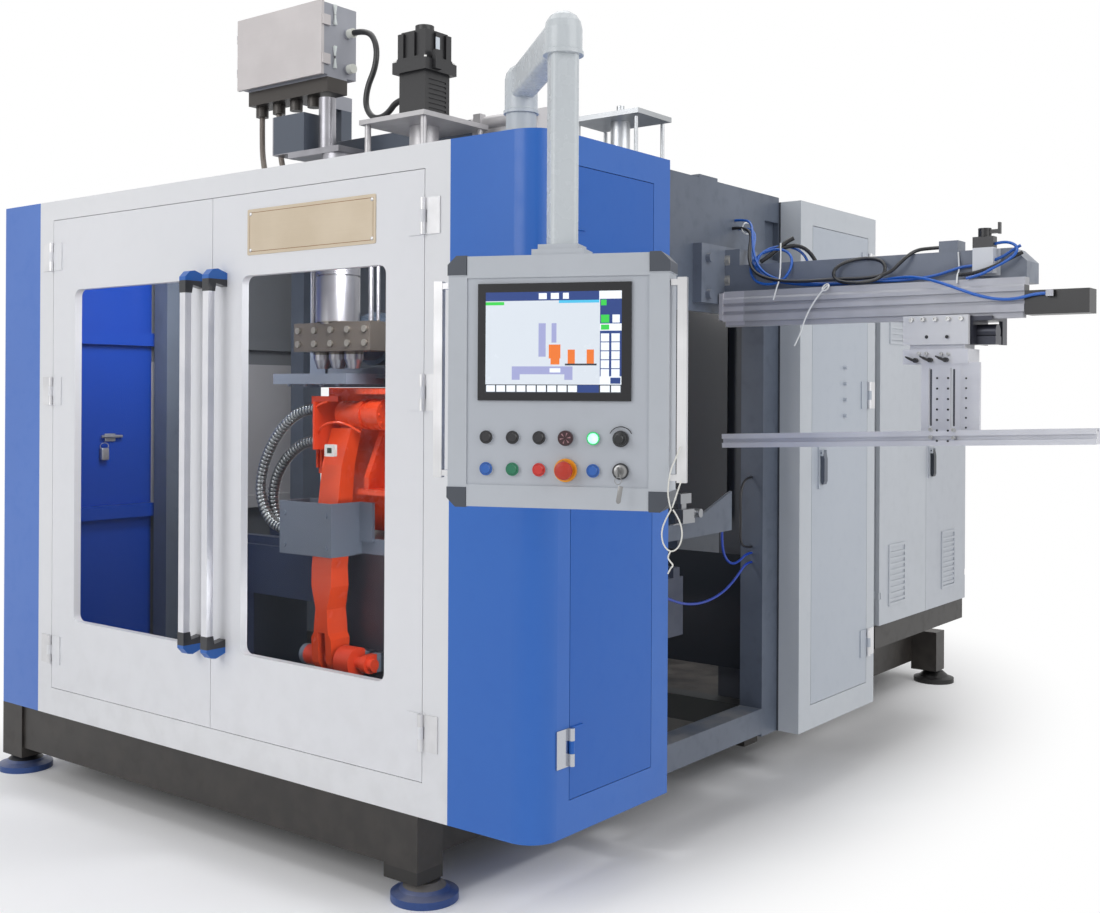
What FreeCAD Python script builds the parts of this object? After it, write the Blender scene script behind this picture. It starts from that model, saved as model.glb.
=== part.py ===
import FreeCAD, Part
import math
import os
import Sketcher
from types import SimpleNamespace

# Blow moulding machine: guarded moulding cell on a welded base, extruder behind it,
# operator panel on a swivel arm, valve and control cabinets and a take-out robot on the right.
# Millimetres. +Z up, doors face -Y, the robot side faces +X.
# Origin: middle of the underside of the front right levelling foot.

V = FreeCAD.Vector
doc = FreeCAD.newDocument("blow_moulding_machine")
sheet = doc.addObject("Spreadsheet::Sheet", "Sizes")
nodes = []
sheet_rows = []


# ---------------------------------------------------------------- sizes that live on the sheet

class Size:
    """A number together with the sheet formula that it comes from."""

    def __init__(self, number, formula):
        self.number = number
        self.formula = formula

    def __add__(self, other):
        return joined(self, "+", other)

    def __radd__(self, other):
        return joined(other, "+", self)

    def __sub__(self, other):
        return joined(self, "-", other)

    def __rsub__(self, other):
        return joined(other, "-", self)

    def __mul__(self, other):
        return joined(self, "*", other)

    def __rmul__(self, other):
        return joined(other, "*", self)

    def __truediv__(self, other):
        return joined(self, "/", other)

    def __neg__(self):
        return joined(0, "-", self)


def number(value):
    return value.number if isinstance(value, Size) else value


def formula(value):
    return value.formula if isinstance(value, Size) else "(%s)" % repr(value)


def joined(left, sign, right):
    results = {"+": number(left) + number(right),
               "-": number(left) - number(right),
               "*": number(left) * number(right),
               "/": number(left) / number(right) if number(right) else 0}
    return Size(results[sign], "(%s %s %s)" % (formula(left), sign, formula(right)))


def sizes(group, **values):
    """Writes plain numbers to the sheet and hands them back as named sizes."""
    named = SimpleNamespace()
    for word, value in values.items():
        alias = "%s_%s" % (group, word)
        sheet_rows.append(alias)
        row = len(sheet_rows)
        sheet.set("A%d" % row, alias.replace("_", " "))
        sheet.set("B%d" % row, str(value))
        sheet.setAlias("B%d" % row, alias)
        setattr(named, word, Size(value, "Sizes." + alias))
    sheet.recompute()
    return named


def bind(item, prop, value):
    item.setExpression(prop, formula(value))


# ---------------------------------------------------------------- plain solids and booleans

def place(item, spot):
    for letter, value in zip("xyz", spot):
        bind(item, "Placement.Base." + letter, value)


def box(name, low, high):
    solid = doc.addObject("Part::Box", name)
    bind(solid, "Length", high[0] - low[0])
    bind(solid, "Width", high[1] - low[1])
    bind(solid, "Height", high[2] - low[2])
    place(solid, low)
    return solid


def aimed(solid, axis):
    turns = {"x": (V(0, 1, 0), 90), "y": (V(1, 0, 0), -90), "z": (V(0, 0, 1), 0)}
    solid.Placement = FreeCAD.Placement(V(), FreeCAD.Rotation(*turns[axis]))


def rod(name, start, axis, radius, length):
    solid = doc.addObject("Part::Cylinder", name)
    aimed(solid, axis)
    bind(solid, "Radius", radius)
    bind(solid, "Height", length)
    place(solid, start)
    return solid


def cone(name, start, axis, radius, end_radius, length):
    solid = doc.addObject("Part::Cone", name)
    aimed(solid, axis)
    bind(solid, "Radius1", radius)
    bind(solid, "Radius2", end_radius)
    bind(solid, "Height", length)
    place(solid, start)
    return solid


def merged(name, pieces):
    whole = doc.addObject("Part::MultiFuse", name)
    whole.Shapes = pieces
    whole.Refine = True
    return whole


def cut(name, base, tools):
    result = doc.addObject("Part::Cut", name)
    result.Base = base
    result.Tool = tools[0] if len(tools) == 1 else merged(name + "_tools", tools)
    result.Refine = True
    return result


def group(name, solids):
    several = doc.addObject("Part::Compound", name)
    several.Links = solids
    return several


def node(label, item):
    item.Label = label
    nodes.append(item)
    return item


# ---------------------------------------------------------------- sketched bodies

def new_body(name):
    return doc.addObject("PartDesign::Body", name)


def sketch(body, plane, offset=0):
    """A sketch parallel to one of the body's own planes; offset runs along the plane's free axis."""
    picture = body.newObject("Sketcher::SketchObject", body.Name + "_sketch")
    for feature in body.Origin.OriginFeatures:
        if feature.Role == plane + "_Plane":
            picture.AttachmentSupport = [(feature, "")]
    picture.MapMode = "FlatFace"
    bind(picture, "AttachmentOffset.Base.z", -1 * offset if plane == "XZ" else offset)
    return picture


def pin_down(picture, geometry, end, spot):
    for word, value in zip(("DistanceX", "DistanceY"), spot):
        rule = Sketcher.Constraint(word, -1, 1, geometry, end, float(number(value)))
        index = picture.addConstraint(rule)
        picture.setExpression("Constraints[%d]" % index, formula(value))


def outline(picture, corners):
    first = picture.GeometryCount
    spots = [V(number(x), number(y), 0) for x, y in corners]
    for index, spot in enumerate(spots):
        picture.addGeometry(Part.LineSegment(spot, spots[(index + 1) % len(spots)]), False)
    for index, corner in enumerate(corners):
        following = first + (index + 1) % len(corners)
        picture.addConstraint(Sketcher.Constraint("Coincident", first + index, 2, following, 1))
        pin_down(picture, first + index, 1, corner)


def rectangle(picture, low, high):
    outline(picture, [low, (high[0], low[1]), high, (low[0], high[1])])


def ring(picture, centre, radius):
    spot = V(number(centre[0]), number(centre[1]), 0)
    index = picture.addGeometry(Part.Circle(spot, V(0, 0, 1), number(radius)), False)
    pin_down(picture, index, 3, centre)
    rule = picture.addConstraint(Sketcher.Constraint("Radius", index, float(number(radius))))
    picture.setExpression("Constraints[%d]" % rule, formula(radius))


def faces_minus(picture):
    return picture.AttachmentSupport[0][0].Role == "XZ_Plane"


def pad(body, picture, length, towards=1):
    feature = body.newObject("PartDesign::Pad", body.Name + "_pad")
    feature.Profile = picture
    bind(feature, "Length", length)
    feature.Reversed = (towards > 0) == faces_minus(picture)
    return feature


def pocket(body, picture, length, towards=-1):
    feature = body.newObject("PartDesign::Pocket", body.Name + "_pocket")
    feature.Profile = picture
    bind(feature, "Length", length)
    feature.Reversed = (towards > 0) != faces_minus(picture)
    return feature


def turned(body, picture, axis="V_Axis"):
    feature = body.newObject("PartDesign::Revolution", body.Name + "_turned")
    feature.Profile = picture
    feature.ReferenceAxis = (picture, [axis])
    feature.Angle = 360
    return feature


def edges_where(feature, wanted):
    doc.recompute()
    names = []
    for index, edge in enumerate(feature.Shape.Edges):
        if wanted(edge):
            names.append("Edge%d" % (index + 1))
    return names


def fillet(body, feature, wanted, radius):
    rounded = body.newObject("PartDesign::Fillet", body.Name + "_fillet")
    rounded.Base = (feature, edges_where(feature, wanted))
    bind(rounded, "Radius", radius)
    return rounded


def runs_along(axis, low=None, high=None):
    """Test for straight edges along an axis whose middle lies in the box low..high."""
    def wanted(edge):
        if edge.Curve.TypeId != "Part::GeomLine":
            return False
        direction = edge.tangentAt(edge.FirstParameter)
        if abs(abs(getattr(direction, axis)) - 1) > 1e-6:
            return False
        middle = edge.CenterOfMass
        inside = True
        for index in range(3):
            if low is not None and low[index] is not None:
                inside = inside and middle[index] >= number(low[index])
            if high is not None and high[index] is not None:
                inside = inside and middle[index] <= number(high[index])
        return inside
    return wanted


# ---------------------------------------------------------------- layout shared by the sub-parts

case = sizes("case", left=-1996, white_left=-1761, white_right=143, right=433, front=-70,
             back=512, cell_back=1300, bottom=240, top=1990, thick=20, corner=80)
doorway = sizes("doorway", left=-1680, right=55, seam=-818, bottom=331, top=1925, gap=2)
hinge = sizes("hinge", width=55, tall=95, leaf=4, barrel=8, pin=4, play=0.05, low=463,
              middle=1343, high=1800)
head = sizes("head", centre_x=-860, centre_y=480)


# ---------------------------------------------------------------- base and feet

def make_base_frame():
    base = sizes("base", left=-1870, right=-22, front=-62, back=3480, bottom=93, beam=80,
                 deck=8, leg_width=122, leg_depth=98, leg_bottom=58)
    top = case.bottom
    low = base.bottom
    beams = [
        box("front_beam", (base.left, base.front, low), (base.right, base.front + base.beam, top)),
        box("rear_beam", (base.left, base.back - base.beam, low), (base.right, base.back, top)),
        box("left_beam", (base.left, base.front, low), (base.left + base.beam, base.back, top)),
        box("right_beam", (base.right - base.beam, base.front, low), (base.right, base.back, top)),
    ]
    for name, middle in (("cell", case.cell_back), ("throat", case.cell_back + 1100)):
        beams.append(box(name + "_cross_beam", (base.left, middle - base.beam / 2, low),
                         (base.right, middle + base.beam / 2, top)))
    beams.append(box("deck", (base.left, base.front, top - base.deck), (base.right, base.back, top)))
    legs = [("front_right", -83, -70), ("front_left", -1986, -70), ("middle_right", -83, 1650),
            ("middle_left", -1986, 1650), ("rear_right", -23, 3350), ("rear_left", -1986, 3350)]
    for name, x, y in legs:
        beams.append(box(name + "_leg", (x, y, base.leg_bottom),
                         (x + base.leg_width, y + base.leg_depth, top)))
    plinth = sizes("plinth", left=33, right=425, front=1915, back=2790, bottom=422, top=503, post=90)
    beams.append(box("plinth", (plinth.left, plinth.front, plinth.bottom),
                     (plinth.right, plinth.back, plinth.top)))
    for name, y in (("near", plinth.front + 60), ("far", plinth.back - 160)):
        beams.append(box(name + "_post", (base.right - base.beam, y, top - 20),
                         (base.right, y + plinth.post, plinth.top)))
        beams.append(box(name + "_bracket", (base.right - base.beam, y, plinth.bottom),
                         (plinth.left + 20, y + plinth.post, plinth.top)))
    node("base_frame", merged("base_frame", beams))


def make_levelling_feet():
    foot = sizes("foot", radius=91, puck=28, dome=8, casting=68, casting_top=50, screw=12, tall=58)
    centres = [("front_right", 0, 0), ("front_left", -1942, -8), ("rear_right", 60, 3420),
               ("rear_left", -1925, 3420)]
    feet = []
    for name, x, y in centres:
        puck = rod(name + "_puck", (x, y, 0), "z", foot.radius, foot.puck - foot.dome)
        dome = cone(name + "_dome", (x, y, foot.puck - foot.dome), "z", foot.radius,
                    foot.casting, foot.dome)
        casting = cone(name + "_casting", (x, y, foot.puck), "z", foot.casting,
                       foot.casting * 0.62, foot.casting_top - foot.puck)
        screw = rod(name + "_screw", (x, y, foot.casting_top), "z", foot.screw,
                    foot.tall - foot.casting_top)
        feet.append(merged(name + "_foot", [puck, dome, casting, screw]))
    node("levelling_feet", group("levelling_feet", feet))


# ---------------------------------------------------------------- enclosure

def make_front_surround():
    body = new_body("front_surround")
    face = sketch(body, "XZ", case.front)
    rectangle(face, (case.white_left, case.bottom), (case.white_right, case.top))
    rectangle(face, (doorway.left, doorway.bottom), (doorway.right, doorway.top))
    pad(body, face, 30)
    node("front_surround", body)


def make_left_cover():
    body = new_body("left_cover")
    plan = sketch(body, "XY", case.bottom)
    inner_x = case.left + case.thick
    inner_y = case.front + case.thick
    outline(plan, [(case.left, case.front), (case.white_left, case.front),
                   (case.white_left, inner_y), (inner_x, inner_y),
                   (inner_x, case.cell_back), (case.left, case.cell_back)])
    wall = pad(body, plan, case.top - case.bottom)
    near_corner = runs_along("z", (None, None, None), (case.left + 1, case.front + 1, None))
    fillet(body, wall, near_corner, 14)
    rib = sizes("left_rib", deep=30, tall=50, low=860, high=1520)
    for height in (rib.low, rib.high):
        profile = sketch(body, "XZ", inner_y)
        rectangle(profile, (inner_x, height), (inner_x + rib.deep, height + rib.tall))
        pad(body, profile, case.cell_back - inner_y - 5)
    node("left_cover", body)


def make_corner_cabinet():
    body = new_body("corner_cabinet")
    plan = sketch(body, "XY", case.bottom)
    rectangle(plan, (case.white_right, case.front), (case.right, case.back))
    block = pad(body, plan, case.top - case.bottom)
    front_corner = runs_along("z", (case.right - 1, None, None), (None, case.front + 1, None))
    fillet(body, block, front_corner, case.corner)
    room = sketch(body, "XY", case.top - case.thick)
    wall = case.thick
    rectangle(room, (case.white_right + wall, case.front + wall + 40),
              (case.right - wall, case.back - wall))
    pocket(body, room, case.top - case.bottom - 2 * wall)
    side = sizes("side_door", near=60, far=431, bottom=328, top=1915, thick=18)
    opening = sketch(body, "YZ", case.right)
    rectangle(opening, (side.near, side.bottom), (side.far, side.top))
    pocket(body, opening, wall + 5)
    node("corner_cabinet", body)
    return side


def make_machine_frame():
    frame = sizes("frame", right=353, left=-1930, tube=80, sill_top=330, sill_bottom=249,
                  plate_bottom=1590, plate=12, roof=12, front=-38)
    tube = frame.tube
    top = case.top
    back = case.cell_back
    pieces = []
    for side, x in (("right", frame.right - tube), ("left", frame.left)):
        pieces.append(box(side + "_front_column", (x, case.back, case.bottom),
                          (x + tube, case.back + tube, top)))
        pieces.append(box(side + "_back_column", (x, back - 100, case.bottom), (x + tube, back, top)))
        pieces.append(box(side + "_sill", (x, case.back, frame.sill_bottom), (x + tube, back,
                                                                              frame.sill_top)))
        rail_front = case.back + 5 if side == "right" else frame.front + tube
        pieces.append(box(side + "_top_rail", (x, rail_front, top - tube), (x + tube, back, top)))
    for name, y, high in (("front_top", frame.front, top), ("back_top", back - tube, top)):
        pieces.append(box(name + "_rail", (frame.left, y, high - 65), (frame.right - 210, y + tube, high)))
    for name, y in (("front_floor", case.back), ("back_floor", back - tube)):
        pieces.append(box(name + "_rail", (frame.left + 4, y + 4, case.bottom),
                          (frame.right - 4, y + tube - 4, frame.sill_top - 6)))
    pieces.append(box("side_plate", (frame.right - frame.plate, case.back + tube, frame.plate_bottom),
                      (frame.right, back - 100, top - tube)))
    pieces.extend(make_side_bracket(frame))
    sheets = sizes("back_sheet", left=-540, right=180, bottom=930, top=1640, thick=6, low_left=-520,
                   low_right=275, low_bottom=430, low_top=810)
    pieces.append(box("back_sheet", (sheets.left, back - 30, sheets.bottom),
                      (sheets.right, back - 30 + sheets.thick, sheets.top)))
    pieces.append(box("back_sheet_post", (sheets.left + 5, back - 24.5, sheets.bottom - 130),
                      (sheets.left + 65, back - 2, top - tube + 5)))
    pieces.append(box("low_back_sheet", (sheets.low_left, back - 30, sheets.low_bottom),
                      (sheets.low_right, back - 30 + sheets.thick, sheets.low_top)))
    pieces.append(box("low_sheet_stay", (sheets.low_left + 5, back - 24.5, frame.sill_top - 10),
                      (sheets.low_left + 45, back - 2, sheets.bottom + 10)))
    pieces.append(box("lifting_block", (frame.right - 70, 800, top - 1), (frame.right, 905, top + 10)))
    for name, x in (("left_head_beam", -1180), ("right_head_beam", -600)):
        pieces.append(box(name, (x, frame.front + tube, top - tube), (x + tube, back - tube, top)))
    roof = box("roof_plate", (frame.left, frame.front, top - frame.roof), (frame.right - 210, back, top))
    roof_side = box("roof_side", (frame.right - 212, case.back, top - frame.roof), (frame.right, back, top))
    head_hole = box("head_hole", (-1100, 280, top - 20), (-600, 780, top + 5))
    roof_cut = cut("roof_cut", merged("roof_whole", [roof, roof_side]), [head_hole])
    whole = merged("frame_whole", pieces + [roof_cut])
    window_hole = box("side_window", (frame.right - 20, 1204, 1782), (frame.right + 1, 1296, 1906))
    node("machine_frame", cut("machine_frame", whole, [window_hole]))
    return frame


def make_side_bracket(frame):
    """Plate behind the side opening that hangs from the side plate and carries two air valves."""
    plate = sizes("side_bracket", x=333, thick=8, strap_near=556, strap_far=598, reach=1019)
    body = new_body("side_bracket")
    profile = sketch(body, "YZ", plate.x)
    outline(profile, [(plate.strap_near, 914), (806, 916), (plate.reach, 920), (plate.reach, 1042), (834,
                                                                                                     977),
                      (678, 962), (plate.strap_far, 956), (plate.strap_far, frame.plate_bottom + 60),
                      (plate.strap_near, frame.plate_bottom + 60)])
    pad(body, profile, plate.thick + 2)
    front = plate.x + plate.thick + 1
    return [
        body,
        box("low_valve", (front, 690, 966), (front + 28, 752, 1006)),
        box("valve_neck", (front, 704, 1005), (front + 14, 730, 1024)),
        box("high_valve", (front, 686, 1023), (front + 22, 745, 1052)),
        rod("valve_stem_rod", (front + 14, 751, 990), "y", 5, 30),
        rod("valve_ball", (front + 2, 790, 990), "x", 13, 26),
    ]


# ---------------------------------------------------------------- hinges and doors

def hinge_heights():
    return (("low", hinge.low), ("middle", hinge.middle), ("high", hinge.high))


def fixed_hinge(name, spot, side, direction):
    """Leaf on the fixed side with outer knuckles and the pin; spot is the pin axis at mid height."""
    x, y, z = spot
    low = z - hinge.tall / 2
    third = hinge.tall / 3
    reach = hinge.width * direction
    high = low + hinge.tall
    if side == "front":
        near, far = corners(x, x + reach, y + hinge.barrel - hinge.leaf, y + hinge.barrel, low, high)
        clear = box(name + "_clear", (x - 11, y - 11, low + third - 0.3), (x + 11, y + 8,
                                                                           low + 2 * third + 0.3))
    else:
        near, far = corners(x - hinge.barrel, x - hinge.barrel + hinge.leaf, y, y + reach, low, high)
        clear = box(name + "_clear", (x - 8, y - 11, low + third - 0.3), (x + 11, y + 11,
                                                                          low + 2 * third + 0.3))
    leaf = box(name + "_leaf", near, far)
    barrel = rod(name + "_barrel", (x, y, low), "z", hinge.barrel, hinge.tall)
    pin = rod(name + "_pin", (x, y, low), "z", hinge.pin, hinge.tall)
    knuckles = cut(name + "_knuckles", merged(name + "_whole", [leaf, barrel]), [clear])
    return merged(name, [knuckles, pin])


def corners(x0, x1, y0, y1, z0, z1):
    low = tuple(a if number(a) <= number(b) else b for a, b in ((x0, x1), (y0, y1), (z0, z1)))
    high = tuple(b if number(a) <= number(b) else a for a, b in ((x0, x1), (y0, y1), (z0, z1)))
    return low, high


def moving_knuckle(name, spot, side, direction):
    """Leaf on the door side with the middle knuckle, bored for the pin."""
    x, y, z = spot
    low = z - hinge.tall / 2
    third = hinge.tall / 3
    reach = hinge.width * direction
    if side == "front":
        near, far = corners(x + 9 * direction, x + reach, y + hinge.barrel - hinge.leaf, y + hinge.barrel,
                            low, low + hinge.tall)
        tongue_low, tongue_high = corners(x, x + 12 * direction, y + hinge.barrel - hinge.leaf,
                                          y + hinge.barrel - 0.3, low + third, low + 2 * third)
    else:
        near, far = corners(x - hinge.barrel, x - hinge.barrel + hinge.leaf, y + 9 * direction, y + reach,
                            low, low + hinge.tall)
        tongue_low, tongue_high = corners(x - hinge.barrel + 0.3, x - hinge.barrel + hinge.leaf, y,
                                          y + 12 * direction, low + third, low + 2 * third)
    leaf = box(name + "_leaf", near, far)
    tongue = box(name + "_tongue", tongue_low, tongue_high)
    barrel = rod(name + "_barrel", (x, y, low + third), "z", hinge.barrel - 0.3, third)
    bore = rod(name + "_bore", (x, y, low + third - 1), "z", hinge.pin + hinge.play, third + 2)
    return cut(name, merged(name + "_whole", [leaf, tongue, barrel]), [bore])


pin_y = case.front - hinge.barrel
pin_x = case.right + hinge.barrel
valve_pin_y = 1822


def make_door_hinges():
    hinges = []
    for word, z in hinge_heights():
        hinges.append(fixed_hinge("left_hinge_" + word, (doorway.left, pin_y, z), "front", -1))
        hinges.append(fixed_hinge("right_hinge_" + word, (doorway.right, pin_y, z), "front", 1))
        hinges.append(fixed_hinge("valve_hinge_" + word, (pin_x, valve_pin_y, z), "side", 1))
        if word != "middle":
            hinges.append(fixed_hinge("side_hinge_" + word, (pin_x, 60, z), "side", -1))
    node("door_hinges", group("door_hinges", hinges))


def make_front_door(label, hinge_x, seam_x, window_left, window_right, direction):
    gap = doorway.gap
    left, right = (hinge_x + gap, seam_x - gap / 2) if direction > 0 else (seam_x + gap / 2, hinge_x - gap)
    body = new_body(label + "_leaf")
    face = sketch(body, "XZ", case.front)
    rectangle(face, (left, doorway.bottom + gap), (right, doorway.top - gap))
    plate = pad(body, face, 25)
    pane = sketch(body, "XZ", case.front)
    rectangle(pane, (window_left, window.bottom), (window_right, window.top))
    hole = pocket(body, pane, 26, towards=1)
    round_corner = runs_along("y", (window_left - 1, None, window.bottom - 1),
                              (window_right + 1, None, window.top + 1))
    fillet(body, hole, round_corner, window.radius)
    knuckles = [moving_knuckle("%s_knuckle_%s" % (label, word), (hinge_x, pin_y, z), "front", direction)
                for word, z in hinge_heights()]
    node(label, merged(label, [body] + knuckles))


window = sizes("window", bottom=572, top=1683, radius=25, overlap=14, thick=5, left=-1547,
               left_inner=-957, right_inner=-680, right=-86)


def make_window(label, left, right):
    back = case.front + 25
    body = new_body(label)
    face = sketch(body, "XZ", back)
    rectangle(face, (left - window.overlap, window.bottom - window.overlap),
              (right + window.overlap, window.top + window.overlap))
    pad(body, face, window.thick)
    node(label, body)


def make_handle(label, centre_x):
    """Aluminium bar between two moulded ends that hook back to the door."""
    grip = sizes(label, bottom=555, top=1707, reach=68, width=30, bar_width=26, bar_depth=22, end=68)
    body = new_body(label)
    door = case.front
    outer = case.front - grip.reach
    profile = sketch(body, "YZ", centre_x - grip.width / 2)
    for base_z, up in ((grip.top, -1), (grip.bottom, 1)):
        outline(profile, [(door, base_z + 12 * up), (door - 34, base_z), (outer + 16, base_z + 3 * up),
                          (outer, base_z + 20 * up), (outer, base_z + grip.end * up),
                          (outer + 24, base_z + grip.end * up), (outer + 28, base_z + 44 * up),
                          (door, base_z + 52 * up)])
    pad(body, profile, grip.width)
    bar = sketch(body, "XY", grip.bottom + grip.end - 8)
    rectangle(bar, (centre_x - grip.bar_width / 2, outer + 1),
              (centre_x + grip.bar_width / 2, outer + 1 + grip.bar_depth))
    pad(body, bar, grip.top - grip.bottom - 2 * grip.end + 16)
    node(label, body)


def make_side_door(side):
    gap = doorway.gap
    body = new_body("side_door_leaf")
    face = sketch(body, "YZ", case.right)
    rectangle(face, (side.near + gap, side.bottom + gap), (side.far - gap, side.top - gap))
    pad(body, face, side.thick, towards=-1)
    knuckles = [moving_knuckle("side_door_knuckle_" + word, (pin_x, 60, z), "side", 1)
                for word, z in hinge_heights() if word != "middle"]
    node("side_door", merged("side_door", [body] + knuckles))


# ---------------------------------------------------------------- cabinets on the right side

def make_valve_cabinet():
    box_size = sizes("valve_cabinet", back_x=133, near=1300, far=1885, bottom=240, top=1975, wall=12,
                     door_near=1385, door_bottom=319, door_top=1902)
    body = new_body("valve_cabinet")
    plan = sketch(body, "XY", box_size.bottom)
    rectangle(plan, (box_size.back_x, box_size.near), (case.right, box_size.far))
    pad(body, plan, box_size.top - box_size.bottom)
    mouth = sketch(body, "YZ", case.right)
    rectangle(mouth, (box_size.door_near, box_size.door_bottom), (valve_pin_y, box_size.door_top))
    pocket(body, mouth, case.right - box_size.back_x - box_size.wall)
    node("valve_cabinet", body)
    leaf = new_body("valve_door_leaf")
    gap = doorway.gap
    face = sketch(leaf, "YZ", case.right)
    rectangle(face, (box_size.door_near + gap, box_size.door_bottom + gap),
              (valve_pin_y - gap, box_size.door_top - gap))
    pad(leaf, face, 16, towards=-1)
    extras = []
    for index in range(4):
        height = 1437 - 55 * index
        extras.append(rod("door_stud_%d" % index, (case.right - 2, 1629, height), "x", 6, 14))
    extras.append(latch_dish("valve_latch", 1440, 1464, 1035, 1160))
    for word, z in hinge_heights():
        extras.append(moving_knuckle("valve_knuckle_" + word, (pin_x, valve_pin_y, z), "side", -1))
    node("valve_door", merged("valve_door", [leaf] + extras))
    make_latch("valve_latch", 1440, 1464, 1045, 1160)


inner_hinge = sizes("inner_hinge", x=427, inset=6, pin=3, play=0.05, ear=24, low=600, high=1640, room=14)


def inner_hinge_heights():
    return (("low", inner_hinge.low), ("high", inner_hinge.high))


def cabinet_ears(name, edge, inward):
    """Ears on the cabinet that reach into notches of the door, each with a pin standing out of both ends."""
    axis_y = edge + inner_hinge.inset * inward
    pieces = []
    for word, z in inner_hinge_heights():
        low, high = corners(inner_hinge.x - 22, inner_hinge.x + 4, edge, axis_y + 5 * inward, z,
                            z + inner_hinge.ear)
        pieces.append(box("%s_ear_%s" % (name, word), low, high))
        pieces.append(rod("%s_pin_%s" % (name, word), (inner_hinge.x, axis_y, z - 10), "z", inner_hinge.pin,
                          inner_hinge.ear + 20))
    return pieces


def door_notches(name, edge, inward):
    axis_y = edge + inner_hinge.inset * inward
    tools = []
    for word, z in inner_hinge_heights():
        low, high = corners(inner_hinge.x - 12, inner_hinge.x + 12, edge - 1 * inward,
                            edge + inner_hinge.room * inward, z - 0.4, z + inner_hinge.ear + 0.4)
        tools.append(box("%s_notch_%s" % (name, word), low, high))
        tools.append(rod("%s_bore_%s" % (name, word), (inner_hinge.x, axis_y, z - 11), "z",
                         inner_hinge.pin + inner_hinge.play, inner_hinge.ear + 22))
    return tools


def make_control_cabinet():
    shell = sizes("control", back_x=33, near=1930, far=2800, bottom=503, top=1760, wall=12, mouth=415,
                  leaf=16, seam=2372, gap=2)
    body = new_body("control_shell")
    plan = sketch(body, "XY", shell.bottom)
    rectangle(plan, (shell.back_x, shell.near), (shell.mouth, shell.far))
    pad(body, plan, shell.top - shell.bottom)
    mouth = sketch(body, "YZ", shell.mouth)
    wall = shell.wall
    rectangle(mouth, (shell.near + wall, shell.bottom + wall), (shell.far - wall, shell.top - wall))
    pocket(body, mouth, shell.mouth - shell.back_x - wall)
    near_edge = shell.near + shell.gap
    far_edge = shell.far - shell.gap
    ears = cabinet_ears("near", near_edge, 1) + cabinet_ears("far", far_edge, -1)
    node("control_cabinet", merged("control_cabinet", [body] + ears))
    make_control_door("control_door_near", shell, near_edge, shell.seam - 1,
                      [("lower", 2012, 2166, 567, 793), ("upper", 2012, 2148, 1533, 1628)],
                      door_notches("near", near_edge, 1))
    make_control_door("control_door_far", shell, shell.seam + 1, far_edge,
                      [("lower", 2532, 2675, 570, 800)], door_notches("far", far_edge, -1))
    make_control_gear(shell)
    make_latch("control_latch", 2402, 2426, 1027, 1138)


def latch_dish(name, near, far, bottom, top):
    """Shallow dish on the door with two cheeks that are bored for the lever's pin."""
    face = case.right
    dish = box(name + "_dish", (face - 2, near - 10, bottom - 5), (face + 5, far + 10, top + 12))
    cheeks = [box(name + "_cheek_near", (face + 4, near - 7, top - 20), (face + 16, near - 0.4, top)),
              box(name + "_cheek_far", (face + 4, far + 0.4, top - 20), (face + 16, far + 7, top))]
    bore = rod(name + "_bore", (face + 11, near - 12, top - 10), "y", 3.05, far - near + 24)
    return cut(name + "_seat", merged(name + "_seat_whole", [dish] + cheeks), [bore])


def make_latch(label, near, far, bottom, top):
    """Swing lever of a door latch, hinged at its upper end."""
    face = case.right
    lever_body = new_body(label + "_lever")
    profile = sketch(lever_body, "XZ", near)
    outline(profile, [(face + 5.4, bottom + 11), (face + 10, bottom), (face + 16, bottom), (face + 20,
                                                                                            bottom + 11),
                      (face + 20, top - 30), (face + 15, top - 6), (face + 9, top - 6), (face + 5.4,
                                                                                         top - 13)])
    pad(lever_body, profile, far - near)
    pin = rod(label + "_pin", (face + 11, near - 6.5, top - 10), "y", 3, far - near + 13)
    node(label, merged(label, [lever_body, pin]))


def make_control_door(label, shell, near, far, vents, notches):
    start = shell.mouth + 2
    pieces = [box(label + "_plate", (start, near, shell.bottom + 2), (start + shell.leaf, far,
                                                                      shell.top - 2))]
    for word, vent_near, vent_far, low, high in vents:
        name = "%s_%s" % (label, word)
        frame = box(name + "_frame", (case.right - 1, vent_near, low), (case.right + 5, vent_far, high))
        window_cut = box(name + "_cut", (case.right, vent_near + 10, low + 10),
                         (case.right + 9, vent_far - 10, high - 10))
        pieces.append(cut(name + "_rim", frame, [window_cut]))
        slats = max(3, int((high - low - 30) / 20))
        for index in range(slats):
            z = low + 16 + index * (high - low - 32) / slats
            pieces.append(box("%s_slat_%d" % (name, index), (case.right - 1, vent_near + 8, z),
                              (case.right + 4, vent_far - 8, z + 9)))
    if label == "control_door_far":
        pieces.append(latch_dish("control_latch", 2402, 2426, 1027, 1138))
    node(label, cut(label, merged(label + "_whole", pieces), notches))


def make_control_gear(shell):
    plate_x = shell.back_x + shell.wall
    pieces = [box("gear_plate", (plate_x, shell.near + 60, shell.bottom + 60),
                  (plate_x + 6, shell.far - 60, shell.top - 60))]
    rows = ((620, 90, 5, 130), (860, 130, 7, 90), (1120, 150, 6, 100), (1400, 220, 4, 150))
    for row, (z, tall, count, width) in enumerate(rows):
        for index in range(count):
            y = 2020 + index * (740 - width) / (count - 1)
            pieces.append(box("gear_%d_%d" % (row, index), (plate_x + 5, y, z),
                              (plate_x + 85, y + width - 15, z + tall)))
    node("control_gear", merged("control_gear", pieces))


# ---------------------------------------------------------------- operator panel

panel = sizes("panel", pivot_x=654, pivot_y=-269, turn=22.5, half=248, top=1643, bottom=1092,
              front=-47, back=43, rim=50, side_rim=45, chamfer=20)


def stand_panel(item):
    """Turns a piece drawn in the panel's own axes to where the arm holds it."""
    bind(item, "Placement.Base.x", panel.pivot_x)
    bind(item, "Placement.Base.y", panel.pivot_y)
    item.setExpression("Placement.Rotation.Angle", "Sizes.panel_turn * 1 deg")
    return item


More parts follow.
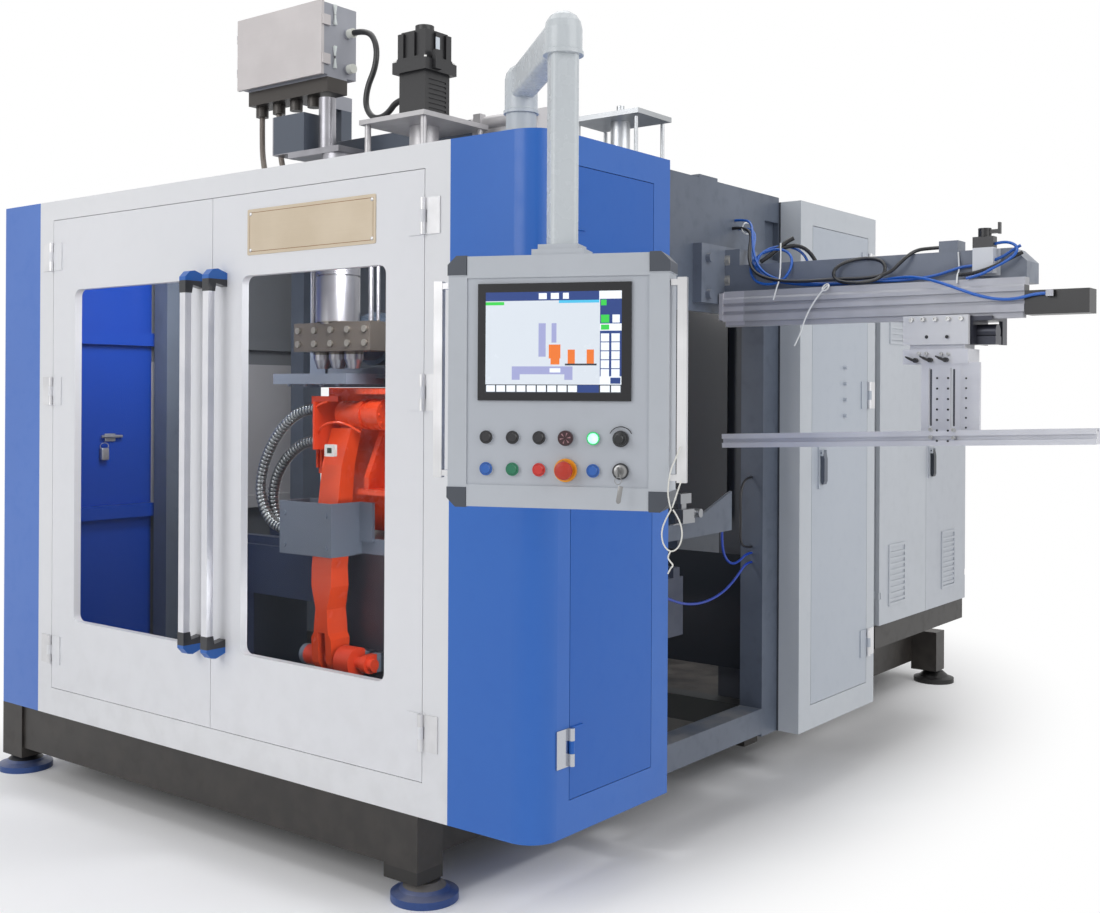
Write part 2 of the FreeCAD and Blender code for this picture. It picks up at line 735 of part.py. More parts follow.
def make_arm():
    arm = sizes("arm", base_x=293, base_y=30, plate=57, plate_tall=14, column=39, level=2125, tube=31,
                foot_top=2050, end=1665, spigot=20, play=0.05, elbow=42)
    plate = rod("arm_plate", (arm.base_x, arm.base_y, case.top), "z", arm.plate, arm.plate_tall)
    column = rod("arm_column", (arm.base_x, arm.base_y, case.top), "z", arm.column,
                 arm.foot_top - case.top)
    spigot = rod("arm_spigot", (arm.base_x, arm.base_y, arm.foot_top - 1), "z", arm.spigot, 56)
    node("arm_base", merged("arm_base", [plate, column, spigot]))
    heading = math.degrees(math.atan2(number(panel.pivot_y - arm.base_y),
                                      number(panel.pivot_x - arm.base_x)))
    reach = math.hypot(number(panel.pivot_x - arm.base_x), number(panel.pivot_y - arm.base_y))
    half = arm.tube
    pieces = [arm_tube("arm_post", "XY", arm.end, (reach - half, -1 * half), (reach + half, half),
                       arm.level - arm.end)]
    pieces.append(arm_tube("arm_reach", "YZ", 0, (-1 * half, arm.level - 38), (half, arm.level + 38),
                           reach))
    for name, x, low in (("base_elbow", 0, arm.foot_top + 0.3), ("front_elbow", reach, arm.level - 45)):
        body = new_body(name)
        profile = sketch(body, "XZ")
        crown = arm.level + 12
        outline(profile, [(0, low), (arm.elbow + 3, low), (arm.elbow + 3, low + 8), (arm.elbow, low + 10),
                          (arm.elbow, crown), (arm.elbow * 0.92, crown + 16), (arm.elbow * 0.71,
                                                                               crown + 29),
                          (arm.elbow * 0.38, crown + 38), (0, crown + 41)])
        turned(body, profile)
        bind(body, "Placement.Base.x", x)
        pieces.append(body)
    lower_pin = rod("arm_lower_pin", (reach, 0, arm.end - 40), "z", arm.spigot, 60)
    socket = rod("arm_socket", (0, 0, arm.foot_top - 10), "z", arm.spigot + arm.play, 70)
    whole = cut("support_arm", merged("arm_whole", pieces + [lower_pin]), [socket])
    bind(whole, "Placement.Base.x", arm.base_x)
    bind(whole, "Placement.Base.y", arm.base_y)
    whole.setExpression("Placement.Rotation.Angle", "%s * 1 deg" % repr(round(heading, 4)))
    node("support_arm", whole)
    return arm


def arm_tube(name, plane, offset, low, high, length):
    """Square tube of the arm with rounded corners."""
    body = new_body(name)
    section = sketch(body, plane, offset)
    rectangle(section, low, high)
    tube = pad(body, section, length)
    along = runs_along("z" if plane == "XY" else "x")
    fillet(body, tube, along, 13)
    return body


def make_panel(arm):
    half = panel.half
    corner = 44
    body = new_body("panel_frame_ring")
    face = sketch(body, "XZ", panel.front)
    inset = panel.chamfer + 1
    left = -1 * half + 2
    right = half - 2
    low = panel.bottom + 2
    high = panel.top - 2
    outline(face, [(left + inset, low), (right - inset, low), (right, low + inset), (right, high - inset),
                   (right - inset, high), (left + inset, high), (left, high - inset), (left, low + inset)])
    pad(body, face, panel.back - panel.front - 4)
    recess = sketch(body, "XZ", panel.front)
    rectangle(recess, (-half + panel.side_rim, panel.bottom + panel.rim),
              (half - panel.side_rim, panel.top - panel.rim))
    pocket(body, recess, 14, towards=1)
    ends = []
    for side, x in (("left", -1), ("right", 1)):
        for word, z, up in (("top", panel.top, -1), ("bottom", panel.bottom, 1)):
            end = new_body("panel_%s_%s" % (side, word))
            shape = sketch(end, "XZ", panel.front - 2)
            inner = (half - corner) * x
            outline(shape, [((half - panel.chamfer) * x, z), (half * x, z + panel.chamfer * up),
                            (half * x, z + corner * up), (inner, z + corner * up), (inner, z)])
            pad(end, shape, panel.back - panel.front + 2)
            ends.append(end)
    coupling = box("panel_coupling", (-58, -42, panel.top - 3), (58, 42, panel.top + 11))
    socket = box("panel_socket", (-45, -38, panel.top + 10), (45, 38, panel.top + 21.7))
    journal = rod("panel_journal", (0, 0, 1623), "z", arm.spigot + arm.play, 50)
    shell = merged("panel_shell", [body, coupling, socket] + ends)
    node("panel_frame", stand_panel(cut("panel_frame", shell, [journal])))
    plate = new_body("panel_face")
    front = panel.front + 3
    sheet_face = sketch(plate, "XZ", front)
    rectangle(sheet_face, (-half + panel.side_rim, panel.bottom + panel.rim),
              (half - panel.side_rim, panel.top - panel.rim))
    pad(plate, sheet_face, 10.9)
    stand_panel(plate)
    bezels = sketch(plate, "XZ", front)
    for x, z in button_spots():
        ring(bezels, (x, z), controls.bezel)
    ring(bezels, (spot_x(3), controls.low_row), controls.stop_seat)
    pad(plate, bezels, controls.proud, towards=-1)
    buzzer = sketch(plate, "XZ", front)
    ring(buzzer, (spot_x(3), controls.top_row), controls.bezel)
    pad(plate, buzzer, controls.proud, towards=-1)
    bores = sketch(plate, "XZ", front - controls.proud)
    for x, z in button_spots() + [(spot_x(3), controls.low_row)]:
        ring(bores, (x, z), controls.cap + controls.play)
    pocket(plate, bores, controls.proud + 8, towards=1)
    node("panel_face", plate)
    screen = new_body("touch_screen")
    bezel = sketch(screen, "XZ", front - 0.01)
    rectangle(bezel, (-177, 1326), (165, 1580))
    pad(screen, bezel, 5, towards=-1)
    glass = sketch(screen, "XZ", front - 5)
    rectangle(glass, (-159, 1343), (144, 1561))
    pocket(screen, glass, 1.5, towards=1)
    node("touch_screen", stand_panel(screen))
    handles = []
    grip = sizes("panel_grip", bottom=1155, top=1588, reach=262, thick=20, bracket=13)
    for side in (-1, 1):
        name = "panel_grip_%s" % ("left" if side < 0 else "right")
        x = grip.reach * side
        low, high = corners(x, (grip.reach + grip.thick) * side, panel.front + 4, panel.front + 24,
                            grip.bottom, grip.top)
        bar = box(name + "_bar", low, high)
        feet = []
        for word, z in (("low", grip.bottom + 4), ("high", grip.top - 4 - grip.bracket)):
            low, high = corners(half * side, x + 2 * side, panel.front + 5, panel.front + 23, z,
                                z + grip.bracket)
            feet.append(box("%s_%s" % (name, word), low, high))
        handles.append(merged(name, [bar] + feet))
    node("panel_handles", stand_panel(group("panel_handles", handles)))


controls = sizes("controls", top_row=1246, low_row=1177, first=-157, step=60, bezel=14.5, proud=6,
                 cap=11, play=0.4, stop_seat=21)


def spot_x(column):
    return controls.first + controls.step * column


def button_spots():
    """Places of the push buttons: columns in the upper and lower row."""
    top = [(spot_x(column), controls.top_row) for column in (0, 1, 2, 4)]
    low = [(spot_x(column), controls.low_row) for column in (0, 1, 2, 4)]
    return top + low


def turned_control(label, spot, profile):
    """A turned piece whose axis points out of the panel; profile is (radius, distance from the face)."""
    body = new_body(label)
    section = sketch(body, "XY")
    outline(section, profile)
    turned(body, section)
    bind(body, "Placement.Base.x", spot[0])
    bind(body, "Placement.Base.z", spot[1])
    return body


def make_buttons():
    names = ["black_button_1", "black_button_2", "black_button_3", "lamp_button",
             "blue_button_1", "green_button", "red_button", "blue_button_2"]
    front = panel.front + 3 - controls.proud
    for label, spot in zip(names, button_spots()):
        cap = turned_control(label + "_cap", spot, [(0, front + 9), (controls.cap, front + 9),
                                                    (controls.cap, front - 1), (controls.cap - 2,
                                                                                front - 3),
                                                    (0, front - 3)])
        node(label, stand_panel(group(label, [cap])))
    face = panel.front + 3
    stop = turned_control("stop_cap", (spot_x(3), controls.low_row),
                          [(0, face - 1), (controls.cap, face - 1), (controls.cap, face - 16), (17,
                                                                                                face - 18),
                           (20, face - 24), (19, face - 29), (12, face - 33), (0, face - 34)])
    node("stop_button", stand_panel(group("stop_button", [stop])))
    knob = turned_control("selector_body", (spot_x(5), controls.top_row),
                          [(0, face - 0.4), (14, face - 0.4), (14, face - 8), (10, face - 10), (10,
                                                                                                face - 24),
                           (8, face - 26), (0, face - 26)])
    node("selector_knob", stand_panel(group("selector_knob", [knob])))
    barrel = turned_control("key_barrel", (spot_x(5), controls.low_row),
                            [(0, face - 0.4), (14, face - 0.4), (14, face - 7), (9, face - 9), (0,
                                                                                                face - 9)])
    x = spot_x(5)
    z = controls.low_row
    blade = box("key_blade", (x - 1.2, face - 22, z - 4), (x + 1.2, face - 8, z + 4))
    bow = box("key_bow", (x - 1.3, face - 40, z - 10), (x + 1.3, face - 20, z + 10))
    node("key_switch", stand_panel(merged("key_switch", [barrel, blade, bow])))


# ---------------------------------------------------------------- units on the roof

def make_junction_box():
    shell = sizes("junction", left=-1303, right=-877, front=421, back=570, bottom=2408, top=2647, wall=8,
                  lid=12)
    outer = box("junction_outer", (shell.left, shell.front, shell.bottom), (shell.right, shell.back,
                                                                            shell.top))
    wall = shell.wall
    inner = box("junction_inner", (shell.left + wall, shell.front - 1, shell.bottom + wall),
                (shell.right - wall, shell.back - wall, shell.top - wall))
    pieces = [cut("junction_shell", outer, [inner])]
    pieces.append(box("socket_bar", (shell.left + 20, 440, 2352), (shell.right, 530, shell.bottom)))
    for index in range(4):
        x = shell.left + 40 + index * 90
        pieces.append(rod("socket_%d" % index, (x, 485, 2318), "z", 22, 35))
    for index, z in enumerate((2440, 2560)):
        pieces.append(rod("side_gland_%d" % index, (shell.right - 1, 530, z), "x", 16, 32))
    pieces.append(box("junction_post", (-1110, 675, 2237), (-1060, 725, 2402)))
    pieces.append(box("junction_bracket", (-1110, 529, 2352), (-1060, 726, 2402)))
    lid_hinge = sizes("lid_hinge", barrel=3.6, pin=2, play=0.05, tall=14, split=0.4, out=8, ahead=6.4)
    x = shell.left - lid_hinge.out
    y = shell.front - lid_hinge.ahead
    knuckles = []
    bores = []
    for word, z in (("low", shell.bottom + 45), ("high", shell.top - 75)):
        upper = z + lid_hinge.tall + lid_hinge.split
        top = upper + lid_hinge.tall
        pieces.append(rod("lid_barrel_" + word, (x, y, upper), "z", lid_hinge.barrel, lid_hinge.tall))
        pieces.append(rod("lid_pin_" + word, (x, y, z), "z", lid_hinge.pin, lid_hinge.tall + 2))
        pieces.append(box("lid_arm_" + word, (x - lid_hinge.barrel, y, upper), (x + lid_hinge.barrel,
                                                                                y + 25, top)))
        pieces.append(box("lid_ear_" + word, (x, y + 11, upper), (shell.left + 1, y + 25, top)))
        knuckles.append(rod("lid_knuckle_" + word, (x, y, z), "z", lid_hinge.barrel, lid_hinge.tall))
        knuckles.append(box("lid_tongue_" + word, (x, y - 2, z), (shell.left - 3, y + 2,
                                                                  z + lid_hinge.tall)))
        bores.append(rod("lid_bore_" + word, (x, y, z - 1), "z", lid_hinge.pin + lid_hinge.play,
                         lid_hinge.tall + 2))
    node("junction_box", merged("junction_box", pieces))
    lid = box("lid_plate", (shell.left - 4, shell.front - shell.lid - 0.4, shell.bottom - 4),
              (shell.right + 4, shell.front - 0.4, shell.top + 4))
    clips = [box("lid_clip_%d" % index, (shell.right + 3, shell.front - 10, z),
                 (shell.right + 10, shell.front + 24, z + 34))
             for index, z in enumerate((2440, 2570))]
    node("junction_lid", cut("junction_lid", merged("lid_whole", [lid] + clips + knuckles), bores))


def make_parison_servo():
    x = -470
    y = 480
    servo = sizes("servo", bottom=2200, flange=2350, body=2384, top=2482, gear=56, plate=72, half=52)
    gear = servo.gear
    half = servo.half
    pieces = [
        box("gearbox", (x - gear, y - gear, servo.bottom), (x + gear, y + gear, servo.flange + 2)),
        box("motor_flange", (x - servo.plate, y - servo.plate, servo.flange),
            (x + servo.plate, y + servo.plate, servo.body + 2)),
        box("flange_top", (x - 62, y - 62, servo.body), (x + 62, y + 62, servo.body + 14)),
        box("motor_body", (x - half, y - half, servo.body), (x + half, y + half, servo.top)),
        box("motor_rib_x", (x - half - 8, y - 12, servo.body), (x + half + 8, y + 12, servo.top - 6)),
        box("motor_rib_y", (x - 12, y - half - 8, servo.body), (x + 12, y + half + 8, servo.top - 6)),
        rod("motor_cap", (x, y, servo.top - 2), "z", 30, 26),
        box("motor_plug", (x + servo.plate - 2, y - 40, servo.flange + 5),
            (x + servo.plate + 14, y - 10, servo.body + 30)),
    ]
    for index, (side_x, side_y) in enumerate(((-1, -1), (1, -1), (-1, 1), (1, 1))):
        low, high = corners(x + (half - 16) * side_x, x + (half + 8) * side_x, y + (half - 16) * side_y,
                            y + (half + 8) * side_y, servo.body, servo.top - 6)
        pieces.append(box("motor_corner_%d" % index, low, high))
    slots = [box("gearbox_slot_%d" % index, (x + gear - 3, y - 40, servo.bottom + 30 + index * 15),
                 (x + gear + 1, y + 40, servo.bottom + 37 + index * 15)) for index in range(7)]
    node("parison_servo", cut("parison_servo", merged("servo_whole", pieces), slots))


def make_head_frame():
    top = case.top
    pieces = [
        box("head_plate", (-610, 330, 2185), (-330, 630, 2200)),
        rod("adjusting_cylinder", (-470, 480, top), "z", 47, 196),
        box("head_foot", (-610, 330, top), (-330, 630, top + 15)),
        box("rear_beam_top", (-1120, 660, 2140), (-100, 740, 2237)),
        rod("cooling_tube", (-420, 660, 2218), "x", 20, 260),
        box("left_foot", (-1120, 660, top), (-1060, 740, 2141)),
        box("right_foot", (-160, 660, top), (-100, 740, 2141)),
        box("tube_clamp", (-200, 635, 2190), (-170, 662, 2245)),
        box("tube_clamp_left", (-400, 635, 2190), (-370, 662, 2245)),
    ]
    for index, (x, y) in enumerate(((-590, 350), (-350, 350), (-590, 610), (-350, 610))):
        pieces.append(rod("head_rod_%d" % index, (x, y, top), "z", 10, 196))
    node("head_frame", merged("head_frame", pieces))


def make_blow_unit():
    blow = sizes("blow", left=-14, right=238, near=641, far=824, plate=2171, thick=15)
    x = (blow.left + blow.right) / 2
    y = (blow.near + blow.far) / 2
    pieces = [
        box("blow_plate", (blow.left, blow.near, blow.plate), (blow.right, blow.far,
                                                               blow.plate + blow.thick)),
        box("blow_foot", (blow.left, blow.near, case.top), (blow.right, blow.far, case.top + 14)),
        rod("blow_cylinder", (x, y, case.top + 10), "z", 30, 175),
        rod("blow_rod", (x, y, blow.plate), "z", 12, 50),
    ]
    for index, (rod_x, rod_y) in enumerate(((20, 20), (-20, 20), (20, -20), (-20, -20))):
        base_x = blow.left + 20 if rod_x > 0 else blow.right - 20
        base_y = blow.near + 20 if rod_y > 0 else blow.far - 20
        pieces.append(rod("blow_rod_%d" % index, (base_x, base_y, case.top + 10), "z", 6, 165))
    node("blow_unit", merged("blow_unit", pieces))


# ---------------------------------------------------------------- extruder and die head

def make_die_head():
    x = head.centre_x
    y = head.centre_y
    pieces = [box("head_block", (-1014, 420, 1480), (-647, 560, 1575))]
    for index, (low, high, radius) in enumerate(((1578, 1729, 72), (1735, 1860, 72), (1860, 2150, 58))):
        pieces.append(rod("heater_band_%d" % index, (x, y, low), "z", radius, high - low))
    pieces.append(rod("head_core", (x, y, 1570), "z", 64, 300))
    for index in range(3):
        nozzle_x = x - 75 + index * 75
        pieces.append(cone("nozzle_%d" % index, (nozzle_x, y, 1423), "z", 20, 30, 30))
        pieces.append(rod("nozzle_collar_%d" % index, (nozzle_x, y, 1453), "z", 32, 28))
    for index, (rod_x, radius) in enumerate(((-985, 9), (-950, 16), (-705, 8), (-672, 6))):
        pieces.append(rod("chrome_rod_%d" % index, (rod_x, y, 1574), "z", radius, 290))
    pieces.append(box("rod_yoke", (-1000, y - 24, 1850), (-655, y + 24, 1868)))
    pieces.append(rod("mandrel_cylinder", (x - 60, y, 2149), "z", 29, 190))
    pieces.append(box("mandrel_plate", (x - 190, y - 60, 2140), (x + 60, y + 60, 2160)))
    pieces.append(box("mandrel_block", (x - 270, y - 60, 2158), (x - 110, y + 40, 2290)))
    for index in range(5):
        for row, z in enumerate((1505, 1550)):
            pieces.append(rod("head_bolt_%d_%d" % (index, row), (-990 + index * 80, 412, z), "y", 11, 10))
    node("die_head", merged("die_head", pieces))


def make_head_support():
    """Hangers under the roof beams with the rail and the parison knife bar in front of the nozzles."""
    hanger = sizes("hanger", left=-1180, right=-600, width=80, near=640, far=720, bottom=1385)
    top = case.top - 80
    pieces = []
    for name, x in (("left", hanger.left), ("right", hanger.right)):
        pieces.append(box(name + "_hanger", (x, hanger.near, hanger.bottom), (x + hanger.width, hanger.far,
                                                                              top)))
    pieces.append(box("hanger_rail", (hanger.left + 10, hanger.near + 10, hanger.bottom),
                      (hanger.right + 70, hanger.far - 10, hanger.bottom + 45)))
    bar = sizes("knife_bar", left=-1126, right=-763, near=425, far=470, bottom=1371, top=1406)
    pieces.append(box("knife_bar", (bar.left, bar.near, bar.bottom), (bar.right, bar.far, bar.top)))
    for name, x in (("left", bar.left), ("right", bar.right - 25)):
        pieces.append(box(name + "_bar_arm", (x, bar.far - 1, bar.bottom),
                          (x + 25, hanger.near + 30, bar.top)))
    for index in range(4):
        pieces.append(rod("bar_bolt_%d" % index, (bar.left + 60 + index * 80, bar.near + 22,
                                                  bar.bottom - 8),
                          "z", 8, 9))
    node("head_support", merged("head_support", pieces))


def make_extruder():
    axis_z = 1530
    x = head.centre_x
    pieces = [
        rod("barrel_cover", (x, 560, axis_z), "y", 75, 1700),
        box("feed_throat", (x - 130, 2230, axis_z - 130), (x + 130, 2520, axis_z + 150)),
    ]
    for index in range(6):
        y = 640 + index * 260
        pieces.append(rod("barrel_heater_%d" % index, (x, y, axis_z), "y", 92, 220))
    hopper = new_body("hopper")
    low = sketch(hopper, "XY", axis_z + 148)
    rectangle(low, (x - 70, 2310), (x + 70, 2450))
    high = sketch(hopper, "XY", axis_z + 420)
    rectangle(high, (x - 230, 2150), (x + 230, 2610))
    loft = hopper.newObject("PartDesign::AdditiveLoft", "hopper_loft")
    loft.Profile = low
    loft.Sections = [high]
    loft.Ruled = True
    rim = sketch(hopper, "XY", axis_z + 420)
    rectangle(rim, (x - 230, 2150), (x + 230, 2610))
    pad(hopper, rim, 90)
    pieces.append(hopper)
    node("extruder", merged("extruder", pieces))
    drive = [
        box("gearbox_case", (x - 190, 2521, 1330), (x + 190, 2900, 1740)),
        box("pedestal", (x - 200, 2300, case.bottom), (x + 200, 3000, 1330)),
        rod("drive_motor", (x, 2901, 1560), "y", 150, 420),
        rod("drive_fan", (x, 3320, 1560), "y", 135, 60),
        box("motor_foot", (x - 140, 2950, 1328), (x + 140, 3280, 1420)),
        box("motor_bed", (x - 200, 2990, 1290), (x + 200, 3330, 1330)),
        box("motor_leg", (x - 200, 3290, case.bottom), (x + 200, 3330, 1300)),
        box("terminal_box", (x + 120, 3020, 1620), (x + 210, 3200, 1740)),
    ]
    front_leg = box("barrel_leg", (x - 60, 1380, case.bottom), (x + 60, 1440, axis_z - 93))
    node("extruder_drive", group("extruder_drive", [merged("drive_whole", drive), front_leg]))


# ---------------------------------------------------------------- mould clamp


rail = sizes("rail", left=-1640, right=240, near=600, far=900, bottom=600, top=780)
carriage = sizes("carriage", left=-1080, right=-560, near=550, bottom=812, top=852)
tie = sizes("tie", radius=20, near=560, far=1010, low=930, high=1310, left=-1045, right=-595)
lever = sizes("lever", left=-925, right=-830, pivot_y=470, pivot_z=452, hub=50, shaft=20, play=0.05,
              nose=1222, boss_z=1270, boss=44, boss_y=545)
cover = sizes("cover", left=-1071, right=-815, front=410, bottom=796, top=974, sheet=8)


def make_carriage_beam():
    pieces = [
        box("rail_beam", (rail.left, rail.near, rail.bottom), (rail.right, rail.far, rail.top)),
        box("rail_near", (rail.left, rail.near + 20, rail.top - 1), (rail.right, rail.near + 55,
                                                                     rail.top + 30)),
        box("rail_far", (rail.left, rail.far - 55, rail.top - 1), (rail.right, rail.far - 20,
                                                                   rail.top + 30)),
    ]
    for name, x in (("left", -1560), ("right", 60)):
        pieces.append(box(name + "_rail_leg", (x, rail.near + 20, case.bottom),
                          (x + 100, rail.far - 20, rail.bottom + 1)))
    node("carriage_beam", merged("carriage_beam", pieces))


def make_mould_carriage():
    """Sled on the two rails: tie bars for the platens, pivot shaft for the clamp lever, cable cover."""
    parts = [box("carriage_plate", (carriage.left, carriage.near, carriage.bottom),
                 (carriage.right, tie.far, carriage.top))]
    for index, x in enumerate((carriage.left, carriage.right - 90)):
        for word, y in (("near", rail.near + 14), ("far", rail.far - 61)):
            shoe = box("shoe_%s_%d" % (word, index), (x, y, rail.top + 3), (x + 90, y + 47,
                                                                            carriage.bottom + 1))
            groove = box("groove_%s_%d" % (word, index), (x - 1, y + 5.5, rail.top),
                         (x + 91, y + 41.5, rail.top + 30.5))
            parts.append(cut("bearing_%s_%d" % (word, index), shoe, [groove]))
    for word, x in (("left", tie.left), ("right", tie.right)):
        for level, z in (("low", tie.low), ("high", tie.high)):
            parts.append(rod("tie_%s_%s" % (word, level), (x, tie.near, z), "y", tie.radius,
                             tie.far - tie.near))
        parts.append(box("tie_foot_" + word, (x - 35, tie.near, carriage.top - 1), (x + 35, tie.near + 30,
                                                                                    tie.low)))
    parts.append(box("back_plate", (carriage.left, tie.far - 40, carriage.top - 1),
                     (carriage.right, tie.far, tie.high + 40)))
    parts.append(box("apron", (-1010, carriage.near, 380), (-690, carriage.near + 22, carriage.bottom + 5)))
    parts.append(rod("pivot_shaft", (-1000, lever.pivot_y, lever.pivot_z), "x", lever.shaft, 330))
    for word, low, high, radius in (("left", -1000, -930, 34), ("middle", -815, -745, lever.hub),
                                    ("right", -715, -690, 30)):
        parts.append(rod("pivot_hub_" + word, (low, lever.pivot_y, lever.pivot_z), "x", radius, high - low))
        parts.append(box("pivot_web_" + word, (low, lever.pivot_y, lever.pivot_z - 30),
                         (high, carriage.near + 1, lever.pivot_z + 30)))
    parts += cable_cover()
    node("mould_carriage", merged("mould_carriage", parts))


def cable_cover():
    """Folded sheet box in front of the sled, open above and below where the lever passes through."""
    rear = carriage.near + 1
    pieces = [
        box("cover_front", (cover.left, cover.front, cover.bottom), (cover.right,
                                                                     cover.front + cover.sheet, cover.top)),
        box("cover_left", (cover.left, cover.front, cover.bottom), (cover.left + cover.sheet, rear,
                                                                    cover.top)),
        box("cover_right", (cover.right - cover.sheet, cover.front, cover.bottom), (cover.right, rear,
                                                                                    cover.top)),
        box("cover_shelf_left", (cover.left, rear - 12, carriage.top - 10), (cover.left + 90, rear,
                                                                             cover.top)),
        box("cover_shelf_right", (cover.right - 8, rear - 12, carriage.top - 10), (cover.right + 60, rear,
                                                                                   cover.top)),
    ]
    for side, x in (("left", cover.left + 26), ("right", cover.right - 26)):
        for word, z in (("low", cover.bottom + 30), ("high", cover.top - 40)):
            pieces.append(rod("cover_bolt_%s_%s" % (side, word), (x, cover.front - 5, z), "y", 8, 6))
    gland = sizes("gland_plate", left=-940, right=-932, near=440, bottom=1150, top=1312)
    pieces.append(box("gland_plate", (gland.left, gland.near, gland.bottom), (gland.right, tie.near,
                                                                              gland.top)))
    pieces.append(box("gland_arm", (tie.left - 20, tie.near - 14, tie.high - 20),
                      (gland.right, tie.near + 0.5, tie.high + 20)))
    return pieces


def make_platen(label, y, rib_side, rib_low, rib_reach):
    """Clamp plate with four bored tie-bar seats and two triangular ribs behind it."""
    body = new_body(label + "_casting")
    face = sketch(body, "XZ", y)
    low = tie.low - 60
    high = tie.high + 50
    rectangle(face, (tie.left - 35, low), (tie.right + 35, high))
    for x in (tie.left, tie.right):
        for z in (tie.low, tie.high):
            ring(face, (x, z), tie.radius + 0.05)
    pad(body, face, 34)
    start = y if rib_side < 0 else y + 34
    reach = rib_reach * rib_side
    for x in (-770, -650):
        rib = sketch(body, "YZ", x)
        outline(rib, [(start, rib_low), (start + reach, rib_low), (start + reach, rib_low + 40),
                      (start, high - 30)])
        pad(body, rib, 22)
    return body


def make_clamp():
    front = make_platen("front_platen", 640, -1, 1020, 125)
    spigot = lever.boss_y
    pieces = [front, box("platen_shelf", (-790, 505, 1003), (-600, 641, 1021)),
              box("platen_top", (-800, 500, 1338), (-580, 641, 1356)),
              rod("platen_boss", (-900, spigot, lever.boss_z), "x", lever.boss, 148),
              rod("platen_collar", (-800, spigot, lever.boss_z), "x", lever.boss + 6, 22),
              rod("platen_drum", (-752, spigot, lever.boss_z), "x", lever.boss + 8, 60),
              box("platen_neck", (-860, spigot, lever.boss_z - 25), (-700, 641, lever.boss_z + 30))]
    for index in range(8):
        turn = math.radians(45 * index)
        pieces.append(rod("drum_screw_%d" % index, (-693, spigot + 38 * math.cos(turn),
                                                    lever.boss_z + 38 * math.sin(turn)), "x", 5, 5))
    pieces.append(box("fin_block", (-1058, 575, 1060), (-960, 641, 1180)))
    for index in range(5):
        x = -1056 + index * 20
        pieces.append(box("fin_%d" % index, (x, 560, 1080), (x + 9, 576, 1178)))
    node("front_platen", merged("front_platen", pieces))
    node("rear_platen", make_platen("rear_platen", 880, 1, 900, 45))


def make_lever():
    """Clamp lever: forked foot on the pivot shaft, waisted arm with a ridge, nose under the platen boss."""
    body = new_body("lever_arm")
    side = sketch(body, "YZ", lever.left)
    outline(side, [(430, 440), (505, 430), (512, 560), (500, 760), (530, 1100), (560, lever.nose),
                   (512, lever.nose), (470, 1100), (425, 760), (422, 560)])
    pad(body, side, lever.right - lever.left)
    slot = sketch(body, "XZ", 400)
    rectangle(slot, (lever.left + 32, lever.pivot_z - 60), (lever.right - 28, lever.pivot_z + 90))
    pocket(body, slot, 200, towards=1)
    waist = sketch(body, "XZ", 400)
    outline(waist, [(lever.left - 1, 700), (lever.left + 22, 620), (lever.left + 14, 540), (lever.left - 1,
                                                                                            520)])
    outline(waist, [(lever.right + 1, 700), (lever.right - 18, 620), (lever.right - 12, 540),
                    (lever.right + 1, 520)])
    pocket(body, waist, 200, towards=1)
    hubs = [rod("lever_hub_left", (lever.left, lever.pivot_y, lever.pivot_z), "x", 40, 32),
            rod("lever_hub_right", (lever.right - 28, lever.pivot_y, lever.pivot_z), "x", 40, 28)]
    bore = rod("lever_bore", (lever.left - 10, lever.pivot_y, lever.pivot_z), "x",
               lever.shaft + lever.play, 130)
    node("toggle_lever", cut("toggle_lever", merged("lever_whole", [body] + hubs), [bore]))


# ---------------------------------------------------------------- conduits, hoses and cables

def route_edges(points):
    """Straight runs of a route with a tangent arc at each corner, and the tightest arc's radius."""
    spots = [V(*point) for point in points]
    edges = []
    start = spots[0]
    radii = []
    for before, corner, after in zip(spots, spots[1:], spots[2:]):
        incoming = (corner - before).normalize()
        outgoing = (after - corner).normalize()
        half_turn = incoming.getAngle(outgoing) / 2
        trim = 0.45 * min((corner - before).Length, (after - corner).Length)
        bend = trim / math.tan(half_turn)
        radii.append(bend)
        inward = (outgoing - incoming).normalize()
        middle = corner + inward * (bend / math.cos(half_turn) - bend)
        edges.append(Part.LineSegment(start, corner - incoming * trim).toShape())
        edges.append(Part.Arc(corner - incoming * trim, middle, corner + outgoing * trim).toShape())
        start = corner + outgoing * trim
    edges.append(Part.LineSegment(start, spots[-1]).toShape())
    return edges, min(radii)


def route_object(name, tube):
    solid = doc.addObject("Part::Feature", name)
    solid.Shape = tube
    return solid


def tube_along(name, points, radius):
    edges, tightest = route_edges(points)
    path = Part.Wire(edges)
    heading = V(*points[1]) - V(*points[0])
    section = Part.Wire([Part.Circle(V(*points[0]), heading, radius).toShape()])
    tube = path.makePipeShell([section], True, True)
    print("%s: length %.0f, tightest arc %.0f, volume ratio %.3f"
          % (name, path.Length, tightest, tube.Volume / (math.pi * radius * radius * path.Length)))
    return route_object(name, tube)


def ribbed_along(name, points, radius, bore, pitch, steady):
    """Ribbed conduit: rings along the route, four to a rib, ruled together, with a plain bore."""
    edges, tightest = route_edges(points)
    path = Part.Wire(edges)
    ribs = int(path.Length / pitch)
    outside = []
    inside = []
    for index in range(4 * ribs + 1):
        where, heading = spot_on(edges, path.Length * index / (4 * ribs))
        crest = radius if index % 4 in (2, 3) else radius * 0.84
        outside.append(ring_across(where, heading, crest, steady))
        if index % 4 == 0:
            inside.append(ring_across(where, heading, bore, steady))
    skin = Part.makeLoft(outside, True, True)
    hollow = Part.makeLoft(inside, True, True)
    print("%s: %d ribs, length %.0f, tightest arc %.0f" % (name, ribs, path.Length, tightest))
    return route_object(name, skin.cut(hollow))


